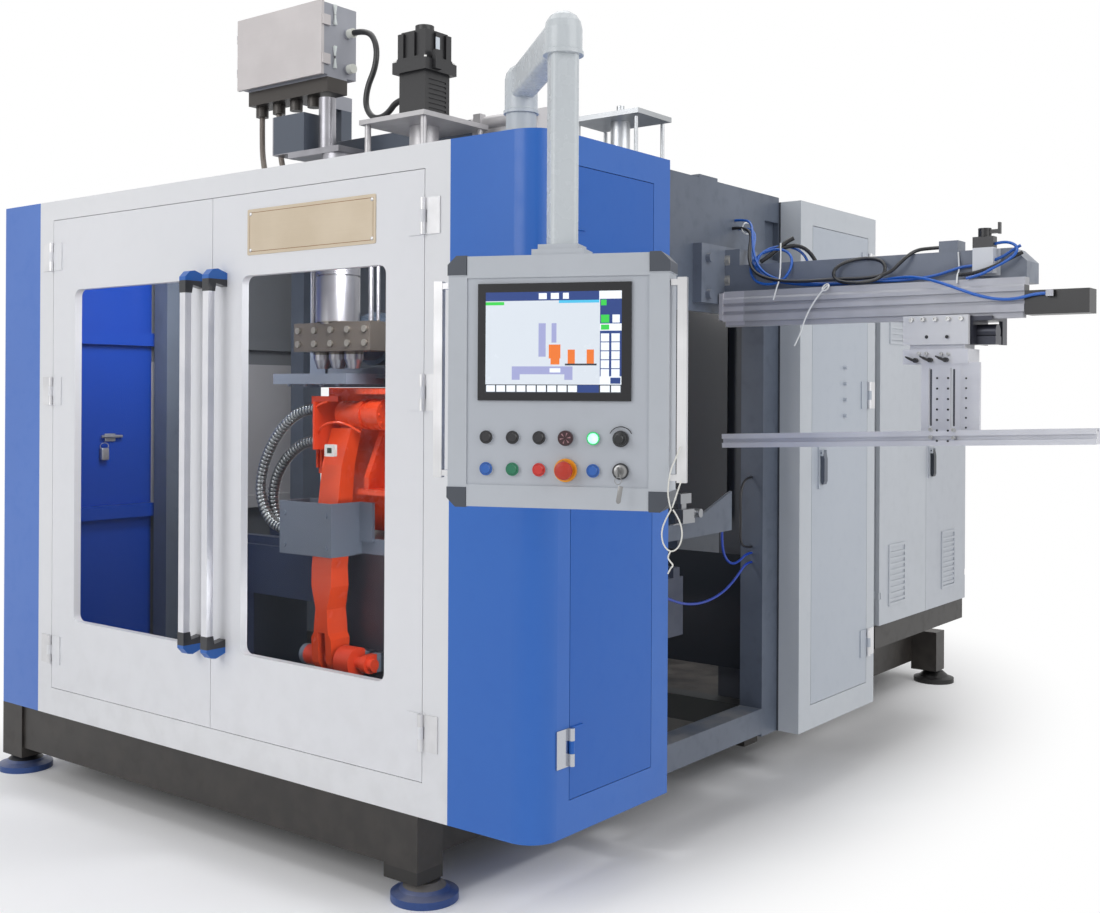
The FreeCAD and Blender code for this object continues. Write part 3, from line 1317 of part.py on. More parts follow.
def spot_on(edges, distance):
    for edge in edges[:-1]:
        if distance <= edge.Length:
            break
        distance -= edge.Length
    else:
        edge = edges[-1]
        distance = min(distance, edge.Length)
    where = edge.getParameterByLength(distance)
    return edge.valueAt(where), edge.tangentAt(where)


def ring_across(where, heading, radius, steady):
    """A ring square to the heading whose seam keeps facing the steady direction."""
    turn = FreeCAD.Rotation(steady, heading.cross(steady), heading, "ZXY")
    circle = Part.Circle(V(), V(0, 0, 1), radius).toShape()
    circle.Placement = FreeCAD.Placement(where, turn)
    return Part.Wire([circle])


def make_conduits():
    conduit = sizes("conduit", radius=12.5, bore=9, pitch=22)
    outer = [(-940, 470, 1287), (-985, 470, 1287), (-1055, 466, 1268), (-1125, 460, 1216), (-1180, 456,
                                                                                            1146),
             (-1216, 453, 1066), (-1222, 450, 984), (-1186, 450, 912), (-1124, 450, 872), (-1071, 450, 872)]
    inner = [(-940, 500, 1181), (-985, 500, 1181), (-1056, 498, 1166), (-1122, 495, 1126), (-1176, 492,
                                                                                            1066),
             (-1202, 490, 990), (-1192, 490, 916), (-1140, 490, 862), (-1071, 490, 862)]
    solids = [ribbed_along(name, points, number(conduit.radius), number(conduit.bore),
                           number(conduit.pitch),
                           V(0, 1, 0))
              for name, points in (("outer_conduit", outer), ("inner_conduit", inner))]
    node("ribbed_conduits", group("ribbed_conduits", solids))


def make_lines():
    """Hoses and cables that are held at both ends, on the roof, in the side opening and along the robot."""
    line = sizes("line", hose=4, cable=5, sleeve=10)
    supply = [(353, 1012, 1884), (390, 1012, 1884), (424, 990, 1866), (452, 945, 1826), (476, 905, 1772),
              (508, 879, 1718), (556, 873, 1684), (640, 876, 1666), (735, 881, 1658), (845, 882, 1661),
              (950, 881, 1657), (1042, 884, 1665), (1095, 887, 1681), (1124, 888, 1688), (1150, 888, 1688)]
    branch = [(353, 1036, 1860), (392, 1036, 1860), (424, 1012, 1838), (446, 968, 1800), (465, 919, 1762),
              (493, 886, 1719), (533, 884, 1684), (590, 891, 1669), (660, 893, 1660), (745, 892, 1657),
              (845, 892, 1659), (928, 889, 1667), (989, 868, 1666), (1050, 850, 1652), (1110, 842, 1630),
              (1170, 840, 1606), (1226, 842, 1592), (1276, 848, 1592), (1318, 853, 1604), (1348, 853, 1604)]
    motor = [(353, 998, 1858), (392, 998, 1858), (429, 982, 1835), (446, 938, 1788), (466, 898, 1744),
             (500, 871, 1700), (570, 863, 1675), (660, 867, 1668), (760, 871, 1671), (850, 870, 1668),
             (920, 868, 1676), (959, 870, 1714), (981, 904, 1742), (1020, 922, 1746), (1046, 922, 1746)]
    servo = [(-846, 530, 2560), (-776, 530, 2560), (-730, 526, 2500), (-730, 520, 2425), (-762, 512, 2360),
             (-762, 504, 2290), (-712, 498, 2244), (-642, 488, 2250), (-590, 480, 2290), (-526, 480, 2290)]
    left_braid = [(-1263, 485, 2318), (-1263, 485, 2250), (-1240, 468, 2175), (-1196, 444, 2105),
                  (-1165, 430, 2050), (-1165, 430, 1990)]
    right_braid = [(-1173, 485, 2318), (-1173, 485, 2255), (-1160, 480, 2180), (-1135, 474, 2110),
                   (-1127, 470, 2050), (-1127, 470, 1990)]
    low_hose = [(313, 594, 763), (313, 632, 763), (308, 700, 742), (305, 790, 714), (304, 880, 702),
                (305, 960, 706), (308, 1030, 722), (311, 1085, 748), (313, 1130, 778), (313, 1165, 800),
                (313, 1200, 800)]
    bracket_hose = [(337, 970, 919), (337, 970, 885), (332, 990, 845), (325, 1030, 818), (318, 1075, 806),
                    (313, 1125, 812), (313, 1165, 830), (313, 1200, 830)]
    post_hose = [(313, 1200, 1075), (313, 1155, 1075), (316, 1122, 1032), (318, 1118, 975), (318, 1120,
                                                                                             915),
                 (316, 1120, 880), (313, 1148, 850), (313, 1200, 850)]
    routes = (("supply_hose", supply, line.hose), ("branch_hose", branch, line.hose),
              ("motor_cable", motor, line.cable), ("servo_cable", servo, line.sleeve),
              ("left_braided_hose", left_braid, line.sleeve), ("right_braided_hose", right_braid,
                                                               line.sleeve),
              ("low_side_hose", low_hose, line.hose), ("bracket_hose", bracket_hose, line.hose),
              ("post_hose", post_hose, line.hose))
    lines = [tube_along(name, points, number(radius)) for name, points, radius in routes]
    node("hoses_and_cables", group("hoses_and_cables", lines))


# ---------------------------------------------------------------- take-out robot


def make_robot(frame):
    robot = sizes("robot", beam_near=900, beam_far=1000, beam_bottom=1640, beam_top=1731, end=1246,
                  module_left=400, module_right=1290, module_near=860, module_bottom=1560, module_top=1650,
                  rail_near=868, rail_far=892, rail_bottom=1545, run=0.4)
    stem = sizes("valve_stem", x=1178, y=886, radius=8, play=0.05, top=1762)
    tube = new_body("robot_beam_tube")
    outline_face = sketch(tube, "XZ", robot.beam_near)
    outline(outline_face, [(frame.right + 29, robot.beam_bottom), (robot.end + 37, robot.beam_bottom),
                           (robot.end + 37, robot.beam_top - 36), (robot.end, robot.beam_top),
                           (frame.right + 29, robot.beam_top)])
    pad(tube, outline_face, robot.beam_far - robot.beam_near)
    beam = [
        tube,
        box("robot_flange", (frame.right, 765, 1615), (frame.right + 30, 1015, 1790)),
        box("robot_gusset", (frame.right + 29, 901, 1625), (frame.right + 80, 1010, 1780)),
        box("robot_valve_body", (1150, 872, 1665), (1205, 901, stem.top)),
        box("robot_top_block", (1046, 905, 1730), (1099, 960, 1761)),
    ]
    for index, (y, z) in enumerate(((910, 1748), (910, 1687), (800, 1748), (800, 1640))):
        beam.append(rod("flange_bolt_%d" % index, (frame.right + 29, y, z), "x", 14, 16))
    bore = rod("valve_bore", (stem.x, stem.y, stem.top - 14), "z", stem.radius + stem.play, 20)
    node("robot_beam", cut("robot_beam", merged("robot_beam_whole", beam), [bore]))
    body = new_body("module_profile")
    section = sketch(body, "YZ", robot.module_left)
    near = robot.module_near
    low = robot.module_bottom
    high = robot.module_top
    far = robot.beam_near
    outline(section, [(near, low), (far, low), (far, high), (near + 4, high), (near + 4, low + 72), (near,
                                                                                                     low + 66),
                      (near, low + 54), (near + 7, low + 54), (near + 7, low + 44), (near, low + 44),
                      (near, low + 30), (near + 7, low + 30), (near + 7, low + 20), (near, low + 20)])
    pad(body, section, robot.module_right - robot.module_left)
    pieces = [
        body,
        box("module_motor", (robot.module_right - 1, near + 2, low - 8),
            (robot.module_right + 160, near + 64, low + 54)),
        box("module_plug", (1348, near - 15, low + 36), (1366, near + 3, low + 52)),
        box("module_cap", (robot.module_left - 12, near - 3, low + 5), (robot.module_left + 1, far,
                                                                        high - 5)),
        box("module_rail", (robot.module_left + 5, robot.rail_near, robot.rail_bottom),
            (robot.module_right - 5, robot.rail_far, low + 1)),
    ]
    node("linear_module", merged("linear_module", pieces))
    slide = [
        box("carriage_front", (974, 836, 1478), (1153, 848, 1556)),
        box("carriage_web", (1000, 846, 1478), (1150, 930, 1556)),
        box("cylinder_shelf", (1140, 858, 1540), (1208, 975, 1552)),
        box("cylinder_wall", (1149, 858, 1478), (1157, 975, 1552)),
        box("cylinder_end", (1198, 940, 1478), (1208, 975, 1552)),
        rod("slide_cylinder", (1156, 905, 1512), "x", 20, 52),
        box("cylinder_base", (1149, 885, 1478), (1208, 930, 1500)),
    ]
    for index in range(5):
        slide.append(rod("carriage_screw_%d" % index, (990 + index * 36, 832, 1545), "y", 5, 5))
    groove = box("rail_groove", (970, robot.rail_near - robot.run, robot.rail_bottom - robot.run),
                 (1210, robot.rail_far + robot.run, low + 5))
    node("robot_carriage", cut("robot_carriage", merged("robot_carriage_whole", slide), [groove]))
    make_gripper()
    lever = [
        rod("handle_stem", (stem.x, stem.y, stem.top - 12), "z", stem.radius, 30),
        rod("handle_cap", (stem.x, stem.y, stem.top + 0.4), "z", 17, 22),
        box("handle_lever", (stem.x, stem.y - 6, stem.top + 8), (stem.x + 42, stem.y + 6, stem.top + 18)),
        box("handle_tip", (stem.x + 36, stem.y - 6, stem.top + 6), (stem.x + 42, stem.y + 6,
                                                                    stem.top + 36)),
    ]
    node("valve_handle", merged("valve_handle", lever))


def make_gripper():
    """Plates that hang from the carriage with the long profile that carries the bottle grippers."""
    bar = new_body("gripper_profile")
    profile = sketch(bar, "YZ")
    outline(profile, [(-20, -20), (20, -20), (20, 20), (6, 20), (6, 12), (-6, 12), (-6, 20), (-20, 20),
                      (-20, 6), (-12, 6), (-12, -6), (-20, -6)])
    pad(bar, profile, 1050)
    bar.Placement = FreeCAD.Placement(V(435, 818, 1206), FreeCAD.Rotation(V(0, 1, 0), -2.07))
    mount = [
        box("gripper_slide", (974, 836, 1426), (1153, 920, 1466)),
        box("slide_rib", (990, 846, 1465), (1140, 920, 1478)),
        box("side_plate", (1132, 839, 1245), (1183, 849, 1430)),
        box("slotted_plate", (1025, 837.9, 1210), (1133, 848, 1430)),
    ]
    slots = [box("plate_slot_%d" % index, (x, 830, 1245), (x + 7, 860, 1415))
             for index, x in enumerate((1046, 1105))]
    plates = cut("gripper_plates", merged("gripper_mount", mount), slots)
    node("gripper", merged("gripper", [plates, bar]))


make_base_frame()
make_levelling_feet()
make_front_surround()
make_left_cover()
side_size = make_corner_cabinet()
frame_size = make_machine_frame()
make_door_hinges()
make_front_door("left_door", doorway.left, doorway.seam, window.left, window.left_inner, 1)
make_front_door("right_door", doorway.right, doorway.seam, window.right_inner, window.right, -1)
make_window("left_window", window.left, window.left_inner)
make_window("right_window", window.right_inner, window.right)
make_handle("left_handle", -873)
make_handle("right_handle", -763)
make_side_door(side_size)
make_valve_cabinet()
make_control_cabinet()
arm_size = make_arm()
make_panel(arm_size)
make_buttons()
make_junction_box()
make_parison_servo()
make_head_frame()
make_blow_unit()
make_die_head()
make_extruder()
make_head_support()
make_carriage_beam()
make_mould_carriage()
make_clamp()
make_lever()
make_conduits()
make_robot(frame_size)
make_lines()

doc.recompute()
for item in doc.Objects:
    if "Invalid" in item.State or "Error" in item.State:
        raise RuntimeError("%s did not build: %s" % (item.Label, item.State))
os.makedirs("parts", exist_ok=True)
for item in nodes:
    shape = item.Shape
    if shape.isNull() or not shape.isValid():
        raise RuntimeError(item.Label + " has no valid shape")
    shape.exportStep("parts/%s.step" % item.Label)
print("%d nodes written" % len(nodes))
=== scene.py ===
import bmesh
import bpy
import math
from mathutils import Matrix, Vector


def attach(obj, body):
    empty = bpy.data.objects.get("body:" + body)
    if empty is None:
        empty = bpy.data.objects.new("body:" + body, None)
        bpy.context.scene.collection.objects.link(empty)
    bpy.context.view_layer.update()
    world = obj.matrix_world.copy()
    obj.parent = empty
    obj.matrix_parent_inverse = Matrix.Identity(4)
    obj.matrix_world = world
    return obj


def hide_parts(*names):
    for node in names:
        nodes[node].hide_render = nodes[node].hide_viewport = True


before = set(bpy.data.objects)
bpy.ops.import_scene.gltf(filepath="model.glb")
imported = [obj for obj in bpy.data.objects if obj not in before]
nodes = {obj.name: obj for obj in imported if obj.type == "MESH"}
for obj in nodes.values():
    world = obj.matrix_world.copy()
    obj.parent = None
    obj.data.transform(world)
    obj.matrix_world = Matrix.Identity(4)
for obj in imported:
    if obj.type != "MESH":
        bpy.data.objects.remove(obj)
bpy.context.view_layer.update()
print("frame loaded")

# camera: in the aisle in front of the right corner, about 1.3 m above the floor
viewpoint = {"place": (2.3689, -2.5208, 1.3388), "heading": 37.821, "tilt": 0.04, "roll": 0.298,
    "lens": 42.37, "shiftX": 0.0004, "shiftY": -0.0569}
cameraData = bpy.data.cameras.new("aisleCamera")
camera = bpy.data.objects.new("aisleCamera", cameraData)
bpy.context.scene.collection.objects.link(camera)
camera.matrix_world = (Matrix.Translation(viewpoint["place"])
    @ Matrix.Rotation(math.radians(viewpoint["heading"]), 4, "Z")
    @ Matrix.Rotation(math.radians(90 + viewpoint["tilt"]), 4, "X")
    @ Matrix.Rotation(math.radians(viewpoint["roll"]), 4, "Z"))
cameraData.sensor_width = 36
cameraData.lens = viewpoint["lens"]
cameraData.shift_x = viewpoint["shiftX"]
cameraData.shift_y = viewpoint["shiftY"]
cameraData.clip_start = 0.05
bpy.context.scene.camera = camera


def linear(red, green, blue):
    # 0-255 screen colour to the linear colour that a shader wants
    out = []
    for value in (red, green, blue):
        share = value / 255
        out.append(share / 12.92 if share <= 0.04045 else ((share + 0.055) / 1.055) ** 2.4)
    return (out[0], out[1], out[2], 1)


# shared effects, each a node group

def startGroup(name, inputs, outputs):
    group = bpy.data.node_groups.new(name, "ShaderNodeTree")
    for word, kind, value in inputs:
        socket = group.interface.new_socket(name=word, in_out="INPUT", socket_type="NodeSocket" + kind)
        socket.default_value = value
    for word, kind in outputs:
        group.interface.new_socket(name=word, in_out="OUTPUT", socket_type="NodeSocket" + kind)
    return group, group.nodes.new("NodeGroupInput"), group.nodes.new("NodeGroupOutput")


def mathNode(tree, operation, first, second=None, third=None, clamp=False):
    node = tree.nodes.new("ShaderNodeMath")
    node.operation = operation
    node.use_clamp = clamp
    for slot, value in zip(node.inputs, (first, second, third)):
        if isinstance(value, (int, float)):
            slot.default_value = value
        elif value is not None:
            tree.links.new(value, slot)
    return node.outputs[0]


def mixColour(tree, share, first, second, blend="MIX"):
    node = tree.nodes.new("ShaderNodeMix")
    node.data_type = "RGBA"
    node.blend_type = blend
    for slot, value in ((node.inputs[0], share), (node.inputs[6], first), (node.inputs[7], second)):
        if isinstance(value, (int, float, tuple)):
            slot.default_value = value
        else:
            tree.links.new(value, slot)
    return node.outputs[2]


def noiseNode(tree, point, scale, detail=2, stretch=None):
    if stretch:
        turn = tree.nodes.new("ShaderNodeMapping")
        turn.inputs["Scale"].default_value = stretch
        tree.links.new(point, turn.inputs["Vector"])
        point = turn.outputs[0]
    node = tree.nodes.new("ShaderNodeTexNoise")
    tree.links.new(point, node.inputs["Vector"])
    if isinstance(scale, (int, float)):
        node.inputs["Scale"].default_value = scale
    else:
        tree.links.new(scale, node.inputs["Scale"])
    node.inputs["Detail"].default_value = detail
    return node.outputs[0]


def objectPoint(tree):
    return tree.nodes.new("ShaderNodeTexCoord").outputs["Object"]


def spread(tree, value, low, high):
    node = tree.nodes.new("ShaderNodeMapRange")
    node.interpolation_type = "SMOOTHSTEP"
    tree.links.new(value, node.inputs[0])
    node.inputs[1].default_value = low
    node.inputs[2].default_value = high
    return node.outputs[0]


def makePaintCoat():
    # powder coat: slow colour drift, a few handling marks, fine orange peel
    group, start, end = startGroup("powderCoat", [("Colour", "Color", (0.5, 0.5, 0.5, 1)),
        ("Second", "Color", (0.4, 0.4, 0.4, 1)), ("Drift", "Float", 0.5), ("Gloss", "Float", 0.4),
        ("Peel", "Float", 300)], [("Colour", "Color"), ("Roughness", "Float"), ("Height", "Float")])
    point = objectPoint(group)
    slow = spread(group, noiseNode(group, point, 1.7, 4), 0.3, 0.72)
    fine = spread(group, noiseNode(group, point, 23, 5), 0.45, 0.8)
    marks = mathNode(group, "ADD", slow, mathNode(group, "MULTIPLY", fine, 0.35), clamp=True)
    share = mathNode(group, "MULTIPLY", marks, start.outputs["Drift"])
    colour = mixColour(group, share, start.outputs["Colour"], start.outputs["Second"])
    rough = mathNode(group, "ADD", start.outputs["Gloss"], mathNode(group, "MULTIPLY", fine, 0.10))
    peel = noiseNode(group, point, start.outputs["Peel"], 1)
    group.links.new(colour, end.inputs["Colour"])
    group.links.new(rough, end.inputs["Roughness"])
    group.links.new(peel, end.inputs["Height"])
    return group


def makeDust():
    # dust on what faces up, broken by noise
    group, start, end = startGroup("restingDust", [("Amount", "Float", 0.4), ("Scale", "Float", 9)],
        [("Mask", "Float")])
    point = objectPoint(group)
    shape = group.nodes.new("ShaderNodeNewGeometry")
    split = group.nodes.new("ShaderNodeSeparateXYZ")
    group.links.new(shape.outputs["Normal"], split.inputs[0])
    up = spread(group, split.outputs[2], 0.35, 0.95)
    patch = spread(group, noiseNode(group, point, start.outputs["Scale"], 5), 0.3, 0.7)
    mask = mathNode(group, "MULTIPLY", mathNode(group, "MULTIPLY", up, patch), start.outputs["Amount"])
    group.links.new(mask, end.inputs["Mask"])
    return group


def makeLowGrime():
    # splashes and grime that thin out with height above the floor
    group, start, end = startGroup("lowGrime", [("Top", "Float", 0.5), ("Amount", "Float", 0.4),
        ("Scale", "Float", 14)], [("Mask", "Float")])
    point = objectPoint(group)
    split = group.nodes.new("ShaderNodeSeparateXYZ")
    group.links.new(point, split.inputs[0])
    height = mathNode(group, "DIVIDE", split.outputs[2], start.outputs["Top"])
    fade = mathNode(group, "SUBTRACT", 1.0, height, clamp=True)
    patch = spread(group, noiseNode(group, point, start.outputs["Scale"], 6), 0.38, 0.68)
    mask = mathNode(group, "MULTIPLY", mathNode(group, "MULTIPLY", fade, patch), start.outputs["Amount"])
    group.links.new(mask, end.inputs["Mask"])
    return group


def makeGrain():
    # brushed or drawn metal: fine lines along one axis, cloudy patches over them
    group, start, end = startGroup("drawnGrain", [("Stretch", "Vector", (4, 400, 400)),
        ("Cloud", "Float", 6)], [("Line", "Float"), ("Cloud", "Float")])
    point = objectPoint(group)
    turn = group.nodes.new("ShaderNodeMapping")
    group.links.new(point, turn.inputs["Vector"])
    group.links.new(start.outputs["Stretch"], turn.inputs["Scale"])
    line = noiseNode(group, turn.outputs[0], 1.0, 3)
    cloud = spread(group, noiseNode(group, point, start.outputs["Cloud"], 4), 0.3, 0.7)
    group.links.new(line, end.inputs["Line"])
    group.links.new(cloud, end.inputs["Cloud"])
    return group


def makeZone():
    # 1 inside a box given by its two corners
    group, start, end = startGroup("boxZone", [("Point", "Vector", (0, 0, 0)), ("Low", "Vector", (0, 0, 0)),
        ("High", "Vector", (1, 1, 1))], [("Mask", "Float")])
    parts = []
    for word in ("Point", "Low", "High"):
        split = group.nodes.new("ShaderNodeSeparateXYZ")
        group.links.new(start.outputs[word], split.inputs[0])
        parts.append(split.outputs)
    mask = None
    for axis in range(3):
        above = mathNode(group, "GREATER_THAN", parts[0][axis], parts[1][axis])
        below = mathNode(group, "LESS_THAN", parts[0][axis], parts[2][axis])
        both = mathNode(group, "MULTIPLY", above, below)
        mask = both if mask is None else mathNode(group, "MULTIPLY", mask, both)
    group.links.new(mask, end.inputs["Mask"])
    return group


powderCoat = makePaintCoat()
restingDust = makeDust()
lowGrime = makeLowGrime()
drawnGrain = makeGrain()
boxZone = makeZone()
print("effects built")


def placeGroup(tree, group, **values):
    node = tree.nodes.new("ShaderNodeGroup")
    node.node_tree = group
    for word, value in values.items():
        if isinstance(value, (int, float, tuple)):
            node.inputs[word].default_value = value
        else:
            tree.links.new(value, node.inputs[word])
    return node


def startMaterial(name):
    material = bpy.data.materials.new(name)
    material.use_nodes = True
    tree = material.node_tree
    return material, tree, tree.nodes["Principled BSDF"]


def zone(low, high, colour, gloss=None, metal=None):
    # a box to repaint, given by two corners in metres, with the finish that it gets
    look = dict(low=low, high=high, colour=colour)
    if gloss is not None:
        look["gloss"] = gloss
    if metal is not None:
        look["metal"] = metal
    return look


def addZones(tree, colour, rough, metal, zones, turn=None):
    # repaint boxes of one casting, such as a bolt row or a moulded end, in their own finish
    point = objectPoint(tree)
    if turn:
        local = tree.nodes.new("ShaderNodeMapping")
        local.vector_type = "TEXTURE"
        local.inputs["Location"].default_value = turn[0]
        local.inputs["Rotation"].default_value = (0, 0, math.radians(turn[1]))
        tree.links.new(point, local.inputs["Vector"])
        point = local.outputs[0]
    for area in zones:
        mask = placeGroup(tree, boxZone, Point=point, Low=area["low"], High=area["high"]).outputs[0]
        colour = mixColour(tree, mask, colour, linear(*area["colour"]))
        if "gloss" in area:
            rough = mathNode(tree, "MULTIPLY_ADD", mathNode(tree, "SUBTRACT", area["gloss"], rough), mask,
                rough)
        if "metal" in area:
            metal = mathNode(tree, "MULTIPLY_ADD", mathNode(tree, "SUBTRACT", area["metal"], metal), mask,
                metal)
    return colour, rough, metal


def finishSurface(tree, shader, colour, rough, height, look):
    if look.get("dust"):
        dust = placeGroup(tree, restingDust, Amount=look["dust"],
            Scale=look.get("dustScale", 9.0)).outputs[0]
        colour = mixColour(tree, dust, colour, linear(*look.get("dustColour", (168, 163, 155))))
        rough = mathNode(tree, "ADD", rough, mathNode(tree, "MULTIPLY", dust, 0.3), clamp=True)
    if look.get("grime"):
        grime = placeGroup(tree, lowGrime, Top=look.get("grimeTop", 0.5), Amount=look["grime"]).outputs[0]
        colour = mixColour(tree, grime, colour, linear(*look.get("grimeColour", (112, 104, 94))))
        rough = mathNode(tree, "ADD", rough, mathNode(tree, "MULTIPLY", grime, 0.25), clamp=True)
    metal = look.get("metal", 0.0)
    if look.get("zones"):
        colour, rough, metal = addZones(tree, colour, rough, metal, look["zones"], look.get("turn"))
    tree.links.new(colour, shader.inputs["Base Color"])
    tree.links.new(rough, shader.inputs["Roughness"])
    if isinstance(metal, float):
        shader.inputs["Metallic"].default_value = metal
    else:
        tree.links.new(metal, shader.inputs["Metallic"])
    shader.inputs["Specular IOR Level"].default_value = look.get("specular", 0.5)
    if look.get("lit"):
        tree.links.new(colour, shader.inputs["Emission Color"])
        shader.inputs["Emission Strength"].default_value = look["lit"]
    bump = tree.nodes.new("ShaderNodeBump")
    bump.inputs["Strength"].default_value = look.get("bump", 0.08)
    bump.inputs["Distance"].default_value = look.get("depth", 0.0006)
    tree.links.new(height, bump.inputs["Height"])
    tree.links.new(bump.outputs[0], shader.inputs["Normal"])


def paint(name, **look):
    material, tree, shader = startMaterial(name)
    second = look.get("second", tuple(value * 0.9 for value in look["colour"]))
    coat = placeGroup(tree, powderCoat, Colour=linear(*look["colour"]), Second=linear(*second),
        Drift=look.get("drift", 0.35), Gloss=look.get("gloss", 0.38), Peel=look.get("peel", 260.0))
    finishSurface(tree, shader, coat.outputs[0], coat.outputs[1], coat.outputs[2], look)
    return material


def bareMetal(name, **look):
    material, tree, shader = startMaterial(name)
    grain = placeGroup(tree, drawnGrain, Stretch=look.get("stretch", (6.0, 500.0, 500.0)),
        Cloud=look.get("cloud", 7.0))
    second = look.get("second", tuple(value * 0.78 for value in look["colour"]))
    colour = mixColour(tree, mathNode(tree, "MULTIPLY", grain.outputs[1], look.get("drift", 0.5)),
        linear(*look["colour"]), linear(*second))
    colour = mixColour(tree, mathNode(tree, "MULTIPLY", grain.outputs[0], 0.25), colour, linear(*second))
    rough = mathNode(tree, "ADD", look.get("gloss", 0.3), mathNode(tree, "MULTIPLY", grain.outputs[0], 0.15))
    look.setdefault("metal", 0.85)
    finishSurface(tree, shader, colour, rough, grain.outputs[0], look)
    return material


def glowing(name, **look):
    material, tree, shader = startMaterial(name)
    patch = noiseNode(tree, objectPoint(tree), 60, 2)
    shade = mixColour(tree, patch, linear(*look["colour"]), linear(*look["glow"]))
    tree.links.new(shade, shader.inputs["Base Color"])
    tree.links.new(shade, shader.inputs["Emission Color"])
    shader.inputs["Emission Strength"].default_value = look["strength"]
    shader.inputs["Roughness"].default_value = 0.25
    return material


def handleFinish(name):
    # drawn bar between two moulded ends, black with a blue crown
    black, blue = (48, 49, 53), (34, 96, 176)
    bands = ((1.639, 1.8, black), (1.676, 1.8, blue), (0.5, 0.623, black), (0.5, 0.584, blue))
    zones = [zone((-2, -1, low), (0, 0, high), colour, 0.28, 0.0) for low, high, colour in bands]
    return bareMetal(name, colour=(226, 226, 230), second=(196, 198, 206), metal=0.55,
        stretch=(500.0, 500.0, 6.0), zones=zones)


panelPlace = ((0.654, -0.269, 0), 22.5)
buttonColumns = [-0.157 + 0.06 * column for column in range(6)]
# the light green square round the lamp (column 4, top row) is painted glow of the lit lamp; the other squares
# are the bezels' own colours
bezelColoursAndLampGlow = [(0, 1.246, (34, 34, 38)), (1, 1.246, (34, 34, 38)), (2, 1.246, (34, 34, 38)),
    (3, 1.246, (60, 40, 44)), (4, 1.246, (70, 196, 126)), (0, 1.177, (42, 92, 168)),
    (1, 1.177, (30, 116, 84)), (2, 1.177, (196, 48, 42)), (4, 1.177, (42, 92, 168))]


def bezelZone(column, row, colour):
    # the square of the panel face round one button
    x, half = buttonColumns[column], 0.0147
    return zone((x - half, -0.0545, row - half), (x + half, -0.0474, row + half), colour, 0.3)


bezelAndLampGlowZones = [bezelZone(*button) for button in bezelColoursAndLampGlow]
bezelAndLampGlowZones.append(zone((0.001, -0.0545, 1.154), (0.045, -0.0474, 1.2), (238, 158, 34), 0.3))
screenInk = {"pale": (196, 203, 211), "white": (222, 228, 234), "blue": (30, 56, 116),
    "green": (48, 190, 70), "cyan": (70, 176, 214), "mauve": (146, 150, 190), "orange": (214, 108, 40),
    "dark": (44, 48, 58)}
# left, low, right, high in mm on the panel: a generic machine display without lettering
screenFields = [(-159, 1343, 144, 1561, "pale"), (-159, 1542, 95, 1561, "blue"),
    (-39, 1545, -21, 1558, "white"), (-12, 1545, 6, 1558, "white"), (15, 1545, 28, 1558, "white"),
    (95, 1544, 144, 1561, "white"), (-159, 1533, -117, 1540, "green"), (6, 1536, 95, 1542, "cyan"),
    (-39, 1421, -23, 1493, "mauve"), (-10, 1451, 1, 1493, "mauve"), (-16, 1417, 10, 1447, "orange"),
    (-12, 1404, 8, 1417, "orange"), (26, 1406, 42, 1436, "orange"), (68, 1406, 84, 1436, "orange"),
    (20, 1402, 90, 1406, "dark"), (-99, 1383, 37, 1400, "mauve"), (-99, 1371, -81, 1383, "mauve"),
    (19, 1371, 37, 1383, "mauve"), (-14, 1387, 10, 1396, "white"), (97, 1379, 144, 1544, "blue"),
    (99, 1530, 111, 1542, "green"), (99, 1493, 117, 1510, "green"), (124, 1493, 140, 1510, "white"),
    (97, 1476, 144, 1491, "white"), (99, 1478, 117, 1489, "green"), (97, 1362, 144, 1377, "white"),
    (120, 1363, 142, 1376, "blue"), (-159, 1343, 144, 1361, "dark"), (48, 1344, 95, 1360, "blue")]
screenFields += [(x, 1453 - 19 * row, x + 18, 1470 - 19 * row, "white") for row in range(5)
    for x in (99, 122)]
screenFields += [(-157 + 23 * step, 1345, -137 + 23 * step, 1359, "white") for step in range(9)]
screenFields += [(98, 1345, 119, 1359, "white"), (122, 1345, 142, 1359, "white")]
screenZones = [zone((left / 1000, -0.0535, low / 1000), (right / 1000, -0.0476, high / 1000), screenInk[ink])
    for left, low, right, high, ink in screenFields]


